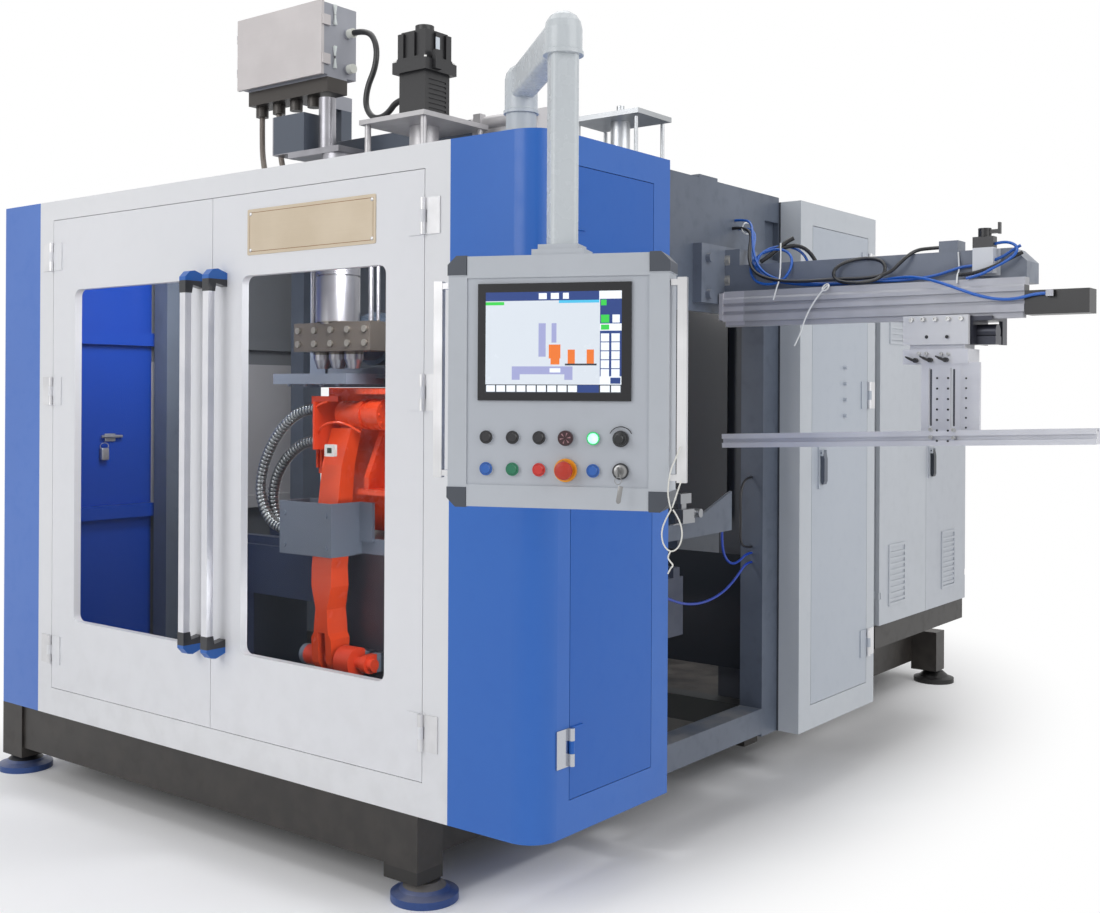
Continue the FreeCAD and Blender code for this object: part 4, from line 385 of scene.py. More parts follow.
finishes = {
    "base_frame": paint("baseBlack", colour=(36, 33, 31), zones=[zone((-0.15, -0.09, 0.0),
        (0.12, 0.12, 0.0925), (25, 23, 21), 0.5)], second=(52, 48, 45), gloss=0.45, dust=0.45,
        dustColour=(118, 112, 106), grime=0.22, grimeTop=0.4, grimeColour=(92, 86, 80)),
    "levelling_feet": paint("footPaint", colour=(46, 78, 140), second=(30, 50, 98), gloss=0.38, dust=0.35,
        bump=0.3, depth=0.002, zones=[zone((-0.2, -0.2, 0.036), (0.2, 0.2, 0.3), (112, 109, 106), 0.6),
        zone((-3, -1, 0.036), (-1, 1, 0.3), (30, 32, 38), 0.5), zone((-3, 3, -0.1), (1, 4, 0.3),
        (21, 20, 20), 0.5)]),
    "front_surround": paint("surroundGrey", colour=(222, 223, 226), second=(212, 214, 218), gloss=0.36,
        grime=0.12, grimeTop=0.6),
    "left_cover": paint("coverBlue", colour=(84, 122, 196), second=(66, 106, 184), gloss=0.34, specular=0.35,
        zones=[zone((-1.985, 0.02, 0.2), (-1.9, 0.53, 2.0), (22, 64, 160)),
        zone((-1.985, 0.53, 0.2), (-1.9, 1.35, 0.86), (96, 100, 106)),
        zone((-1.985, 0.53, 0.86), (-1.9, 1.35, 1.46), (176, 176, 180)),
        zone((-1.985, 0.53, 1.46), (-1.9, 1.35, 2.0), (118, 121, 126))]),
    "corner_cabinet": paint("cornerBlue", colour=(46, 104, 188), second=(38, 92, 176), gloss=0.3,
        specular=0.4, dust=0.15),
    "machine_frame": paint("frameGrey", colour=(98, 107, 122), second=(76, 84, 98), gloss=0.42, dust=0.35,
        drift=0.8, zones=[zone((-1.85, 0.7, 0.1), (0.27, 1.4, 0.335), (48, 50, 50), 0.5),
        zone((-0.56, 1.262, 0.4), (0.3, 1.278, 1.66), (44, 48, 54), 0.22),
        zone((0.333, 0.68, 0.96), (0.38, 0.8, 1.06), (150, 152, 156), 0.3, 0.8)]),
    "door_hinges": bareMetal("hingeSilver", colour=(232, 232, 234), metal=0.55, stretch=(500.0, 500.0, 8.0),
        zones=[zone((0.2, -0.2, 0.4), (0.45, 0.3, 2.0), (186, 189, 196), 0.16, 0.95)]),
    "left_door": paint("leftDoorGrey", colour=(222, 223, 227), second=(211, 213, 217), gloss=0.34, grime=0.1,
        grimeTop=0.7),
    "right_door": paint("rightDoorGrey", colour=(223, 224, 228), second=(212, 214, 218), gloss=0.34,
        grime=0.1, grimeTop=0.7),
    "side_door": paint("sideDoorBlue", colour=(34, 96, 182), second=(28, 86, 172), gloss=0.3, specular=0.3),
    "valve_cabinet": paint("valveCabinetGrey", colour=(192, 197, 203), second=(178, 184, 192), gloss=0.38,
        dust=0.25, zones=[zone((0.1, 1.29, 0.2), (0.36, 1.304, 2.1), (62, 66, 74), 0.4)]),
    "valve_door": paint("valveDoorGrey", colour=(178, 185, 195), second=(166, 174, 185), gloss=0.36),
    "control_cabinet": paint("controlShellGrey", colour=(186, 191, 198), gloss=0.4, dust=0.3),
    "control_door_near": paint("controlNearGrey", colour=(190, 195, 202), gloss=0.36),
    "control_door_far": paint("controlFarGrey", colour=(186, 191, 199), gloss=0.36),
    "control_gear": paint("gearPlate", colour=(196, 190, 170), gloss=0.45, drift=0.5),
    "valve_latch": bareMetal("valveLatchSteel", colour=(112, 118, 130), stretch=(500.0, 500.0, 8.0)),
    "control_latch": bareMetal("controlLatchSteel", colour=(70, 74, 80), stretch=(500.0, 500.0, 8.0)),
    "arm_base": paint("armBaseGrey", colour=(192, 198, 202), gloss=0.34),
    "support_arm": paint("armGrey", colour=(194, 200, 204), second=(184, 190, 195), gloss=0.26),
    "panel_frame": paint("panelFrameGrey", colour=(182, 187, 194), gloss=0.4, turn=panelPlace,
        zones=[zone((side * 0.2265 - 0.0235, -0.07, low), (side * 0.2265 + 0.0235, 0.07, low + 0.045),
        (66, 71, 80), 0.42) for side in (-1, 1) for low in (1.091, 1.6)]),
    "panel_face": paint("panelFaceGrey", colour=(179, 184, 192), gloss=0.42, turn=panelPlace,
        zones=bezelAndLampGlowZones),
    "touch_screen": paint("screenBlack", colour=(12, 13, 18), second=(10, 11, 15), gloss=0.2, drift=0.2,
        lit=0.42, bump=0.01, turn=panelPlace, zones=screenZones),
    "panel_handles": bareMetal("gripAluminium", colour=(222, 222, 224), stretch=(500.0, 500.0, 8.0)),
    "lamp_button": glowing("lampGreen", colour=(196, 255, 222), glow=(70, 255, 140), strength=1.6),
    "stop_button": paint("stopRed", colour=(180, 46, 26), second=(164, 38, 22), gloss=0.3, turn=panelPlace,
        zones=[zone((-0.1, -0.0525, 1.1), (0.1, 0.0, 1.25), (240, 158, 40))]),
    "selector_knob": paint("knobBlack", colour=(30, 32, 34), gloss=0.34),
    "key_switch": bareMetal("keySteel", colour=(150, 150, 150), gloss=0.25),
    "junction_box": bareMetal("junctionSteel", colour=(168, 170, 178), second=(150, 152, 162), metal=0.15,
        gloss=0.42, zones=[zone((-0.868, 0.49, 2.41), (-0.84, 0.57, 2.6), (226, 228, 220), 0.35, 0.0),
        # the dark underside tray is partly its own brown-black and partly painted shade of the recess seen
        # from below
        zone((-1.34, 0.43, 2.29), (-0.86, 0.533, 2.401), (70, 66, 63), 0.4, 0.3),
        zone((-1.12, 0.533, 2.23), (-1.05, 0.73, 2.353), (88, 96, 109), 0.4, 0.0)]),
    "junction_lid": bareMetal("lidSteel", colour=(208, 203, 203), second=(192, 187, 187), metal=0.25,
        gloss=0.42, stretch=(8.0, 500.0, 500.0)),
    "parison_servo": paint("servoBlack", colour=(44, 44, 46), second=(34, 34, 36), gloss=0.4, dust=0.25,
        zones=[zone((-0.412, 0.456, 2.42), (-0.4, 0.486, 2.462), (222, 230, 238))]),
    "head_frame": bareMetal("headPlate", colour=(208, 206, 208), metal=0.35, dust=0.15,
        zones=[zone((-1.13, 0.65, 1.98), (-0.425, 0.745, 2.2365), (90, 98, 111), 0.42, 0.0)]),
    "blow_unit": bareMetal("blowUnitSteel", colour=(196, 199, 202)),
    "die_head": bareMetal("headSteel", colour=(172, 172, 178), second=(120, 118, 122), gloss=0.26, metal=0.8,
        zones=[zone((-1.125, 0.4, 2.1605), (-0.955, 0.54, 2.3), (84, 92, 105), 0.4, 0.05),
        zone((-1.02, 0.4185, 1.47), (-0.64, 0.57, 1.58), (104, 97, 91), 0.4, 0.55),
        zone((-1.02, 0.4, 1.47), (-0.64, 0.4185, 1.58), (150, 146, 140), 0.3, 0.8)]),
    "head_support": paint("hangerGrey", colour=(116, 124, 138), second=(92, 100, 114), gloss=0.38),
    "extruder": paint("extruderGrey", colour=(92, 106, 124), second=(70, 82, 98), gloss=0.4),
    "extruder_drive": paint("driveGrey", colour=(72, 84, 102), second=(54, 64, 80), dust=0.5),
    "carriage_beam": paint("railNavy", colour=(50, 58, 78), second=(38, 44, 62), dust=0.3,
        dustColour=(110, 116, 128)),
    "mould_carriage": paint("carriageGrey", colour=(104, 113, 127), second=(90, 98, 111), gloss=0.4,
        dust=0.2, zones=[zone((-1.07, 0.39, 1.0), (-0.55, 0.62, 1.36), (214, 66, 30)),
        zone((-0.98, 0.39, 0.3), (-0.55, 0.5, 0.56), (210, 62, 30)),
        zone((-0.95, 0.52, 0.3), (-0.55, 1.02, 0.8), (44, 46, 54))]),
    "front_platen": paint("clampOrange", colour=(222, 72, 32), second=(196, 54, 26), gloss=0.26, dust=0.05),
    "rear_platen": paint("rearClampOrange", colour=(214, 66, 30), second=(182, 46, 24), gloss=0.28),
    "toggle_lever": paint("leverOrange", colour=(226, 76, 32), second=(198, 54, 26), gloss=0.22, bump=0.25,
        depth=0.0015),
    "ribbed_conduits": bareMetal("conduitDark", colour=(74, 79, 82), second=(44, 48, 51), metal=0.6,
        gloss=0.24),
    "robot_beam": paint("beamGrey", colour=(120, 128, 142), second=(94, 101, 114), drift=0.9, dust=0.3,
        zones=[zone((1.14, 0.86, 1.66), (1.215, 0.905, 1.733), (204, 207, 212), 0.3),
        zone((1.14, 0.86, 1.733), (1.215, 0.905, 1.8), (34, 34, 37), 0.35),
        zone((0.3832, 0.895, 1.672), (0.4, 0.925, 1.702), (188, 186, 182), 0.3, 0.6),
        zone((0.3832, 0.895, 1.733), (0.4, 0.925, 1.763), (188, 186, 182), 0.3, 0.6)]),
    "linear_module": bareMetal("moduleAluminium", colour=(184, 185, 191), second=(148, 149, 156), gloss=0.36,
        metal=0.2, dust=0.1, zones=[zone((1.2895, 0.85, 1.5), (1.46, 0.94, 1.63), (29, 29, 31), 0.36, 0.0),
        zone((0.38, 0.85, 1.55), (0.47, 0.91, 1.652), (192, 192, 200), 0.42, 0.1)]),
    "robot_carriage": bareMetal("robotCarriageAluminium", colour=(207, 208, 211), second=(190, 191, 195),
        gloss=0.36, metal=0.2, zones=[zone((1.1395, 0.857, 1.476), (1.215, 0.99, 1.554), (58, 60, 70), 0.32,
        0.4)]),
    "gripper": bareMetal("gripperAluminium", colour=(214, 215, 220), second=(190, 191, 198), gloss=0.36,
        metal=0.15),
    "valve_handle": paint("handleBlack", colour=(32, 32, 34), gloss=0.34),
    "left_handle": handleFinish("leftBarAluminium"),
    "right_handle": handleFinish("rightBarAluminium"),
}
buttonColours = {"black_button_1": (34, 34, 38), "black_button_2": (34, 34, 38),
    "black_button_3": (34, 34, 38), "blue_button_1": (42, 96, 176), "blue_button_2": (42, 96, 176),
    "green_button": (30, 116, 84), "red_button": (202, 52, 46)}
for word, shade in buttonColours.items():
    # black_button_1 wears buttonBlack1
    parts = word.split("_")
    finishes[word] = paint(parts[1] + parts[0].title() + "".join(parts[2:]), colour=shade, gloss=0.3)


def clearSheet(name, **look):
    # guard window: nearly clear sheet with a faint tint and smears
    material, tree, shader = startMaterial(name)
    smear = spread(tree, noiseNode(tree, objectPoint(tree), 5, 4, (1, 1, 0.4)), 0.35, 0.75)
    colour = mixColour(tree, smear, linear(*look["colour"]), linear(*look["second"]))
    tree.links.new(colour, shader.inputs["Base Color"])
    tree.links.new(mathNode(tree, "MULTIPLY_ADD", smear, 0.06, 0.03), shader.inputs["Roughness"])
    shader.inputs["Alpha"].default_value = look["alpha"]
    return material


for word in ("left_window", "right_window"):
    finishes[word] = clearSheet(word.split("_")[0] + "WindowClear", colour=(104, 112, 118),
        second=(78, 86, 92), alpha=0.03)


def wear(name, material):
    slots = nodes[name].material_slots
    if not slots:
        nodes[name].data.materials.append(material)
    for slot in slots:
        slot.material = material


for name, material in finishes.items():
    wear(name, material)
print("finishes on the CAD pieces")


# hoses and cables, on the guide points of the CAD lines

lineRoutes = {
    "supplyHose": {"radius": 0.004, "colour": (24, 92, 184), "points": [(0.353, 1.012, 1.884),
        (0.39, 1.012, 1.884), (0.424, 0.99, 1.866), (0.452, 0.945, 1.826), (0.476, 0.905, 1.772),
        (0.508, 0.879, 1.718), (0.556, 0.873, 1.684), (0.64, 0.876, 1.666), (0.735, 0.881, 1.658),
        (0.845, 0.882, 1.661), (0.95, 0.881, 1.657), (1.042, 0.884, 1.665), (1.095, 0.887, 1.681),
        (1.124, 0.888, 1.688), (1.15, 0.888, 1.688)]},
    "branchHose": {"radius": 0.004, "colour": (28, 98, 192), "points": [(0.353, 1.036, 1.86),
        (0.392, 1.036, 1.86), (0.424, 1.012, 1.838), (0.446, 0.968, 1.8), (0.465, 0.919, 1.762),
        (0.493, 0.886, 1.719), (0.533, 0.884, 1.684), (0.59, 0.891, 1.669), (0.66, 0.893, 1.66),
        (0.745, 0.892, 1.657), (0.845, 0.892, 1.659), (0.928, 0.889, 1.667), (0.989, 0.868, 1.666),
        (1.05, 0.85, 1.652), (1.11, 0.842, 1.63), (1.17, 0.84, 1.606), (1.226, 0.842, 1.592),
        (1.276, 0.848, 1.592), (1.318, 0.853, 1.604), (1.348, 0.853, 1.604)]},
    "motorCable": {"radius": 0.005, "colour": (34, 35, 38), "points": [(0.353, 0.998, 1.858),
        (0.392, 0.998, 1.858), (0.429, 0.982, 1.835), (0.446, 0.938, 1.788), (0.466, 0.898, 1.744),
        (0.5, 0.871, 1.7), (0.57, 0.863, 1.675), (0.66, 0.867, 1.668), (0.76, 0.871, 1.671),
        (0.85, 0.87, 1.668), (0.92, 0.868, 1.676), (0.959, 0.87, 1.714), (0.981, 0.904, 1.742),
        (1.02, 0.922, 1.746), (1.046, 0.922, 1.746)]},
    "servoCable": {"radius": 0.01, "colour": (40, 41, 43), "points": [(-0.846, 0.53, 2.56),
        (-0.776, 0.53, 2.56), (-0.73, 0.526, 2.5), (-0.73, 0.52, 2.425), (-0.762, 0.512, 2.36),
        (-0.762, 0.504, 2.29), (-0.712, 0.498, 2.244), (-0.642, 0.488, 2.25), (-0.59, 0.48, 2.29),
        (-0.526, 0.48, 2.29)]},
    "leftBraidedHose": {"radius": 0.01, "colour": (128, 118, 110), "braid": True,
        "points": [(-1.263, 0.485, 2.318), (-1.263, 0.485, 2.25), (-1.24, 0.468, 2.175),
        (-1.196, 0.444, 2.105), (-1.165, 0.43, 2.05), (-1.165, 0.43, 1.99)]},
    "rightBraidedHose": {"radius": 0.01, "colour": (140, 130, 122), "braid": True,
        "points": [(-1.173, 0.485, 2.318), (-1.173, 0.485, 2.255), (-1.16, 0.48, 2.18),
        (-1.135, 0.474, 2.11), (-1.127, 0.47, 2.05), (-1.127, 0.47, 1.99)]},
    "lowSideHose": {"radius": 0.004, "colour": (26, 62, 168), "points": [(0.313, 0.594, 0.763),
        (0.313, 0.632, 0.763), (0.308, 0.7, 0.742), (0.305, 0.79, 0.714), (0.304, 0.88, 0.702),
        (0.305, 0.96, 0.706), (0.308, 1.03, 0.722), (0.311, 1.085, 0.748), (0.313, 1.13, 0.778),
        (0.313, 1.165, 0.8), (0.313, 1.2, 0.8)]},
    "bracketHose": {"radius": 0.004, "colour": (28, 66, 170), "points": [(0.337, 0.97, 0.919),
        (0.337, 0.97, 0.885), (0.332, 0.99, 0.845), (0.325, 1.03, 0.818), (0.318, 1.075, 0.806),
        (0.313, 1.125, 0.812), (0.313, 1.165, 0.83), (0.313, 1.2, 0.83)]},
    "postHose": {"radius": 0.004, "colour": (38, 38, 42), "points": [(0.313, 1.2, 1.075),
        (0.313, 1.155, 1.075), (0.316, 1.122, 1.032), (0.318, 1.118, 0.975), (0.318, 1.12, 0.915),
        (0.316, 1.12, 0.88), (0.313, 1.148, 0.85), (0.313, 1.2, 0.85)]},
}


def startCurve(name, points, smooth, radius=0.0, closed=False):
    # a line drawn toward its guide points, thickened when it has a radius
    curve = bpy.data.curves.new(name, "CURVE")
    curve.dimensions = "3D"
    spline = curve.splines.new("NURBS")
    spline.points.add(len(points) - 1)
    for point, spot in zip(spline.points, points):
        point.co = (*spot, 1)
    spline.order_u = 3
    spline.use_endpoint_u = not closed
    spline.use_cyclic_u = closed
    spline.resolution_u = smooth
    curve.bevel_depth = radius
    curve.bevel_resolution = 3
    line = bpy.data.objects.new(name, curve)
    bpy.context.scene.collection.objects.link(line)
    return line


def layLine(name, look, body):
    line = startCurve(name, look["points"], 6, look["radius"])
    jacket = {"colour": look["colour"], "gloss": 0.28, "peel": 900.0}
    if look.get("braid"):
        jacket.update({"second": tuple(value * 0.6 for value in look["colour"]), "drift": 0.9, "peel": 420.0,
            "bump": 0.6, "depth": 0.002})
    line.data.materials.append(paint(name + "Jacket", **jacket))
    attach(line, body)
    return line


for name, look in lineRoutes.items():
    line = layLine(name, look, "machine")
    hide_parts("hoses_and_cables")
print("lines laid")


# new pieces, modelled from primitives

def startShape(kind, name, place, size, turn=(0, 0, 0), corners=24):
    # a primitive at its size and place, with its transform put into its mesh
    bpy.ops.object.select_all(action="DESELECT")
    if kind == "box":
        bpy.ops.mesh.primitive_cube_add(size=1, location=place, rotation=turn)
    elif kind == "disc":
        bpy.ops.mesh.primitive_cylinder_add(vertices=corners, radius=0.5, depth=1, location=place,
            rotation=turn)
    elif kind == "ball":
        bpy.ops.mesh.primitive_uv_sphere_add(segments=corners, ring_count=12, radius=0.5, location=place,
            rotation=turn)
    else:
        bpy.ops.mesh.primitive_torus_add(major_segments=corners, minor_segments=8, major_radius=0.5,
            minor_radius=0.05, location=place, rotation=turn)
    piece = bpy.context.active_object
    piece.scale = size
    bpy.ops.object.transform_apply(location=True, rotation=True, scale=True)
    piece.name = name
    return piece


def startDisc(name, place, across, tall, corners, turn=(0, 0, 0)):
    return startShape("disc", name, place, (across, across, tall), turn, corners)


def choose(piece, test, kind="FACE"):
    # selects faces by middle and normal, or edges by middle and direction; edit mode is on
    bpy.ops.mesh.select_mode(type=kind)
    bpy.ops.mesh.select_all(action="DESELECT")
    mesh = bmesh.from_edit_mesh(piece.data)
    if kind == "FACE":
        for face in mesh.faces:
            face.select_set(bool(test(face.calc_center_median(), face.normal)))
    else:
        for edge in mesh.edges:
            first, last = edge.verts[0].co, edge.verts[1].co
            edge.select_set(bool(test((first + last) / 2, (last - first).normalized())))
    mesh.select_flush_mode()
    bmesh.update_edit_mesh(piece.data)


def editing(on):
    bpy.ops.object.mode_set(mode="EDIT" if on else "OBJECT")


def chooseAll():
    bpy.ops.mesh.select_all(action="SELECT")


def pushFaces(shift):
    bpy.ops.mesh.extrude_region_move(TRANSFORM_OT_translate={"value": shift})


def insetPush(inset, shift):
    bpy.ops.mesh.inset(thickness=inset)
    pushFaces(shift)


def roundAll(offset, segments=2):
    chooseAll()
    bpy.ops.mesh.bevel(offset=offset, segments=segments)


def cutFlat(spot, way, **rest):
    # cuts the whole mesh by a plane
    chooseAll()
    bpy.ops.mesh.bisect(plane_co=spot, plane_no=way, **rest)


def wearSecond(piece):
    # the chosen faces get the piece's second material
    piece.active_material_index = 1
    bpy.ops.object.material_slot_assign()


def pick(piece):
    # the one piece selected, and active
    bpy.ops.object.select_all(action="DESELECT")
    piece.select_set(True)
    bpy.context.view_layer.objects.active = piece


smoothAngle = math.radians(35)


def finishPiece(piece, material, body):
    for skin in (material if isinstance(material, list) else [material]):
        if skin.name not in [worn.name for worn in piece.data.materials if worn]:
            piece.data.materials.append(skin)
    pick(piece)
    bpy.ops.object.shade_smooth_by_angle(angle=smoothAngle)
    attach(piece, body)
    return piece


def repeat(template, name, places):
    # each copy has its own mesh; a place is a spot and a turn about it
    bpy.ops.object.select_all(action="DESELECT")
    for spot, turn in places:
        mesh = template.data.copy()
        mesh.transform(Matrix.Translation(spot) @ turn)
        copy = bpy.data.objects.new(name, mesh)
        bpy.context.scene.collection.objects.link(copy)
        copy.select_set(True)
        bpy.context.view_layer.objects.active = copy
    bpy.data.objects.remove(template)
    bpy.ops.object.join()
    piece = bpy.context.view_layer.objects.active
    piece.name = name
    return piece


faceForward = Matrix.Rotation(math.radians(90), 4, "X")
panelTurn = Matrix.Rotation(math.radians(panelPlace[1]), 4, "Z")


def panelSpot(x, y, z):
    return Matrix.Translation(panelPlace[0]) @ panelTurn @ Vector((x, y, z))


def makeNamePlate():
    # bare rating plate: brushed sheet, engraved border, four rivets
    plate = {"left": -0.654, "right": -0.124, "low": 1.742, "high": 1.875, "front": -0.0722, "back": -0.0699,
        "corner": 0.004, "border": 0.009, "line": 0.0018, "depth": 0.0006, "rivet": 0.011, "rivetIn": 0.014}
    middle = Vector(((plate["left"] + plate["right"]) / 2, 0, (plate["low"] + plate["high"]) / 2))
    size = (plate["right"] - plate["left"], plate["back"] - plate["front"], plate["high"] - plate["low"])
    sheet = startShape("box", "namePlate", (middle.x, (plate["front"] + plate["back"]) / 2, middle.z), size)
    sheet.data.materials.append(bareMetal("plateBeige", colour=(205, 191, 170), second=(188, 172, 148),
        metal=0.25, gloss=0.4, stretch=(6.0, 400.0, 400.0)))
    sheet.data.materials.append(paint("plateLine", colour=(150, 112, 78), gloss=0.45))
    editing(True)
    choose(sheet, lambda spot, way: way.y < -0.9)
    bpy.ops.mesh.inset(thickness=plate["border"])
    bpy.ops.mesh.inset(thickness=plate["line"])

    def onLine(spot, way):
        room = min(size[0] / 2 - abs(spot.x - middle.x), size[2] / 2 - abs(spot.z - middle.z))
        return way.y < -0.9 and plate["border"] < room < plate["border"] + plate["line"]

    choose(sheet, onLine)
    pushFaces((0, plate["depth"], 0))
    wearSecond(sheet)
    choose(sheet, lambda spot, way: abs(way.y) > 0.9 and abs(spot.x - middle.x) > size[0] / 2 - 0.001
        and abs(spot.z - middle.z) > size[2] / 2 - 0.001, "EDGE")
    bpy.ops.mesh.bevel(offset=plate["corner"], segments=2)
    editing(False)
    finishPiece(sheet, [], "right_door_body")

    rivet = startShape("ball", "plateRivet", (0, 0, 0), (plate["rivet"], plate["rivet"],
        plate["rivet"] * 0.5))
    editing(True)
    cutFlat((0, 0, 0), (0, 0, 1), clear_inner=True, use_fill=True)
    editing(False)
    spots = [(middle.x + x * (size[0] / 2 - plate["rivetIn"]), plate["front"] + 0.0001,
        middle.z + z * (size[2] / 2 - plate["rivetIn"])) for x in (-1, 1) for z in (-1, 1)]
    rivets = repeat(rivet, "plateRivets", [(spot, faceForward) for spot in spots])
    finishPiece(rivets, bareMetal("rivetSteel", colour=(206, 206, 208), gloss=0.22), "right_door_body")


def makeScrew(radius, height):
    # cap screw standing on its seat, with a socket in its head, in shares of its radius and height
    share = {"rim": 0.12, "crown": 0.12, "wall": 0.3, "socket": 0.6}
    screw = startDisc("screw", (0, 0, height / 2), radius * 2, height, 16)
    editing(True)
    choose(screw, lambda spot, way: way.z > 0.9)
    insetPush(radius * share["rim"], (0, 0, height * share["crown"]))
    insetPush(radius * share["wall"], (0, 0, -height * share["socket"]))
    editing(False)
    return screw


def makeHoleShade(radius):
    # painted shade in the mouth of a drilled hole: a thin dished ring painted near black, its lip a share of
    # the radius
    mouth = {"thick": 0.0012, "lip": 0.15, "deep": 0.0007}
    hole = startDisc("hole", (0, 0, 0), radius * 2, mouth["thick"], 14)
    editing(True)
    choose(hole, lambda spot, way: way.z > 0.9)
    insetPush(radius * mouth["lip"], (0, 0, -mouth["deep"]))
    editing(False)
    return hole


screwSets = {
    "carriageScrews": {"radius": 0.0062, "height": 0.005, "turn": faceForward, "body": "robot_carriage_body",
        "spots": [(0.998, 0.836, 1.5455), (1.031, 0.832, 1.5455), (1.065, 0.832, 1.5455),
        (1.1, 0.832, 1.5455), (1.135, 0.832, 1.5455)]},
    "clampScrews": {"radius": 0.005, "height": 0.005, "turn": faceForward, "body": "robot_carriage_body",
        "spots": [(1.019, 0.836, 1.4545), (1.04, 0.836, 1.4545), (1.081, 0.836, 1.453),
        (1.1, 0.836, 1.4525)]},
    "gripperScrews": {"radius": 0.0055, "height": 0.005, "turn": faceForward, "body": "robot_carriage_body",
        "spots": [(1.068, 0.798, 1.252), (1.068, 0.798, 1.232), (1.13, 0.798, 1.252), (1.13, 0.798, 1.232)]},
    "servoScrews": {"radius": 0.005, "height": 0.006, "turn": Matrix(), "body": "machine",
        "spots": [(-0.535, 0.415, 2.3855), (-0.405, 0.415, 2.3855), (-0.405, 0.545, 2.3855),
        (-0.535, 0.545, 2.3855)]},
}
for name, look in screwSets.items():
    screws = repeat(makeScrew(look["radius"], look["height"]), name,
        [(spot, look["turn"]) for spot in look["spots"]])
    finishPiece(screws, bareMetal(name + "Steel", colour=(206, 206, 204), gloss=0.24), look["body"])

holeSets = {
    "carriageHoles": {"radius": 0.0048, "turn": faceForward, "body": "robot_carriage_body",
        "spots": [(1.04, 0.8358, 1.499), (1.097, 0.8318, 1.498)]},
    "gripperHoles": {"radius": 0.003, "turn": faceForward, "body": "robot_carriage_body",
        "spots": [(x, 0.7978, 1.388 - row * 0.0275) for x in (1.0845, 1.114) for row in range(7)]},
    "gripperSideHoles": {"radius": 0.0026, "turn": faceForward, "body": "robot_carriage_body",
        "spots": [(1.147, 0.8388, 1.388 - row * 0.026) for row in range(6)]},
}
for name, look in holeSets.items():
    holes = repeat(makeHoleShade(look["radius"]), name, [(spot, look["turn"]) for spot in look["spots"]])
    # the near-black colour of these rings is painted shade standing in for the holes
    finishPiece(holes, paint(name + "Dark", colour=(28, 28, 30), gloss=0.5), look["body"])


def makeThumbLevers():
    # three black clamping levers under the robot carriage: hub with a swept arm
    lever = {"hub": 0.013, "height": 0.012, "reach": 0.02, "spots": [(1.012, 0.8355, 1.436),
        (1.052, 0.8355, 1.437), (1.095, 0.8355, 1.437)]}
    piece = startDisc("thumbLever", (0, 0, lever["height"] / 2), lever["hub"], lever["height"], 12)
    editing(True)
    choose(piece, lambda spot, way: way.x < -0.85 and abs(way.z) < 0.2)
    pushFaces((-lever["reach"] * 0.5, lever["reach"] * 0.25, lever["height"] * 0.25))
    pushFaces((-lever["reach"] * 0.5, lever["reach"] * 0.25, lever["height"] * 0.1))
    bpy.ops.transform.resize(value=(0.6, 0.6, 0.6))
    editing(False)
    levers = repeat(piece, "thumbLevers", [(spot, faceForward) for spot in lever["spots"]])
    finishPiece(levers, paint("leverBlack", colour=(30, 30, 32), gloss=0.32), "robot_carriage_body")


def makeSlots():
    # two narrow T-slots down the face of the gripper plate
    slot = {"width": 0.005, "low": 1.262, "high": 1.412, "front": 0.7974, "x": (1.068, 1.130),
        "thick": 0.001, "lip": 0.0008, "deep": 0.0006, "proud": 0.0007}
    piece = startShape("box", "plateSlot", (0, 0, (slot["low"] + slot["high"]) / 2),
        (slot["width"], slot["thick"], slot["high"] - slot["low"]))
    editing(True)
    choose(piece, lambda spot, way: abs(way.y) > 0.9, "EDGE")
    bpy.ops.mesh.bevel(offset=slot["width"] * 0.45, segments=3)
    choose(piece, lambda spot, way: way.y < -0.9)
    insetPush(slot["lip"], (0, slot["deep"], 0))
    editing(False)
    slots = repeat(piece, "gripperSlots", [((x, slot["front"] + slot["proud"], 0), Matrix())
        for x in slot["x"]])
    finishPiece(slots, paint("slotShadow", colour=(62, 64, 72), gloss=0.5), "robot_carriage_body")


def makeBoxClips():
    # white quarter-turn clips on the side of the roof junction box, and the pin between each pair
    clip = {"x": -0.877, "y": 0.468, "z": ((2.632, 2.590), (2.494, 2.444)), "width": 0.013, "tall": 0.026,
        "thick": 0.012, "sunk": 0.0005, "corner": 0.0022, "pin": 0.004, "pinLong": 0.03, "pinOut": 0.0055,
        "pinLip": 0.0006, "pinEnd": 0.001}
    piece = startShape("box", "boxClip", (clip["thick"] / 2, 0, 0),
        (clip["thick"], clip["width"], clip["tall"]))
    editing(True)
    choose(piece, lambda spot, way: way.z > 0.9)
    bpy.ops.transform.resize(value=(0.7, 0.45, 1))
    pushFaces((0, 0, clip["tall"] * 0.3))
    roundAll(clip["corner"])
    editing(False)
    flip = Matrix.Rotation(math.radians(180), 4, "X")
    places = []
    for top, low in clip["z"]:
        places.append(((clip["x"] - clip["sunk"], clip["y"], top), flip))
        places.append(((clip["x"] - clip["sunk"], clip["y"], low), Matrix()))
    clips = repeat(piece, "boxClips", places)
    finishPiece(clips, paint("clipWhite", colour=(226, 232, 230), gloss=0.3), "machine")
    rod = startDisc("clipPin", (0, 0, 0), clip["pin"], clip["pinLong"], 10)
    editing(True)
    choose(rod, lambda spot, way: abs(way.z) > 0.9)
    insetPush(clip["pinLip"], (0, 0, clip["pinEnd"]))
    editing(False)
    pins = repeat(rod, "clipPins", [((clip["x"] + clip["pinOut"], clip["y"], (top + low) / 2), Matrix())
        for top, low in clip["z"]])
    finishPiece(pins, paint("pinDark", colour=(52, 52, 54), gloss=0.4), "machine")


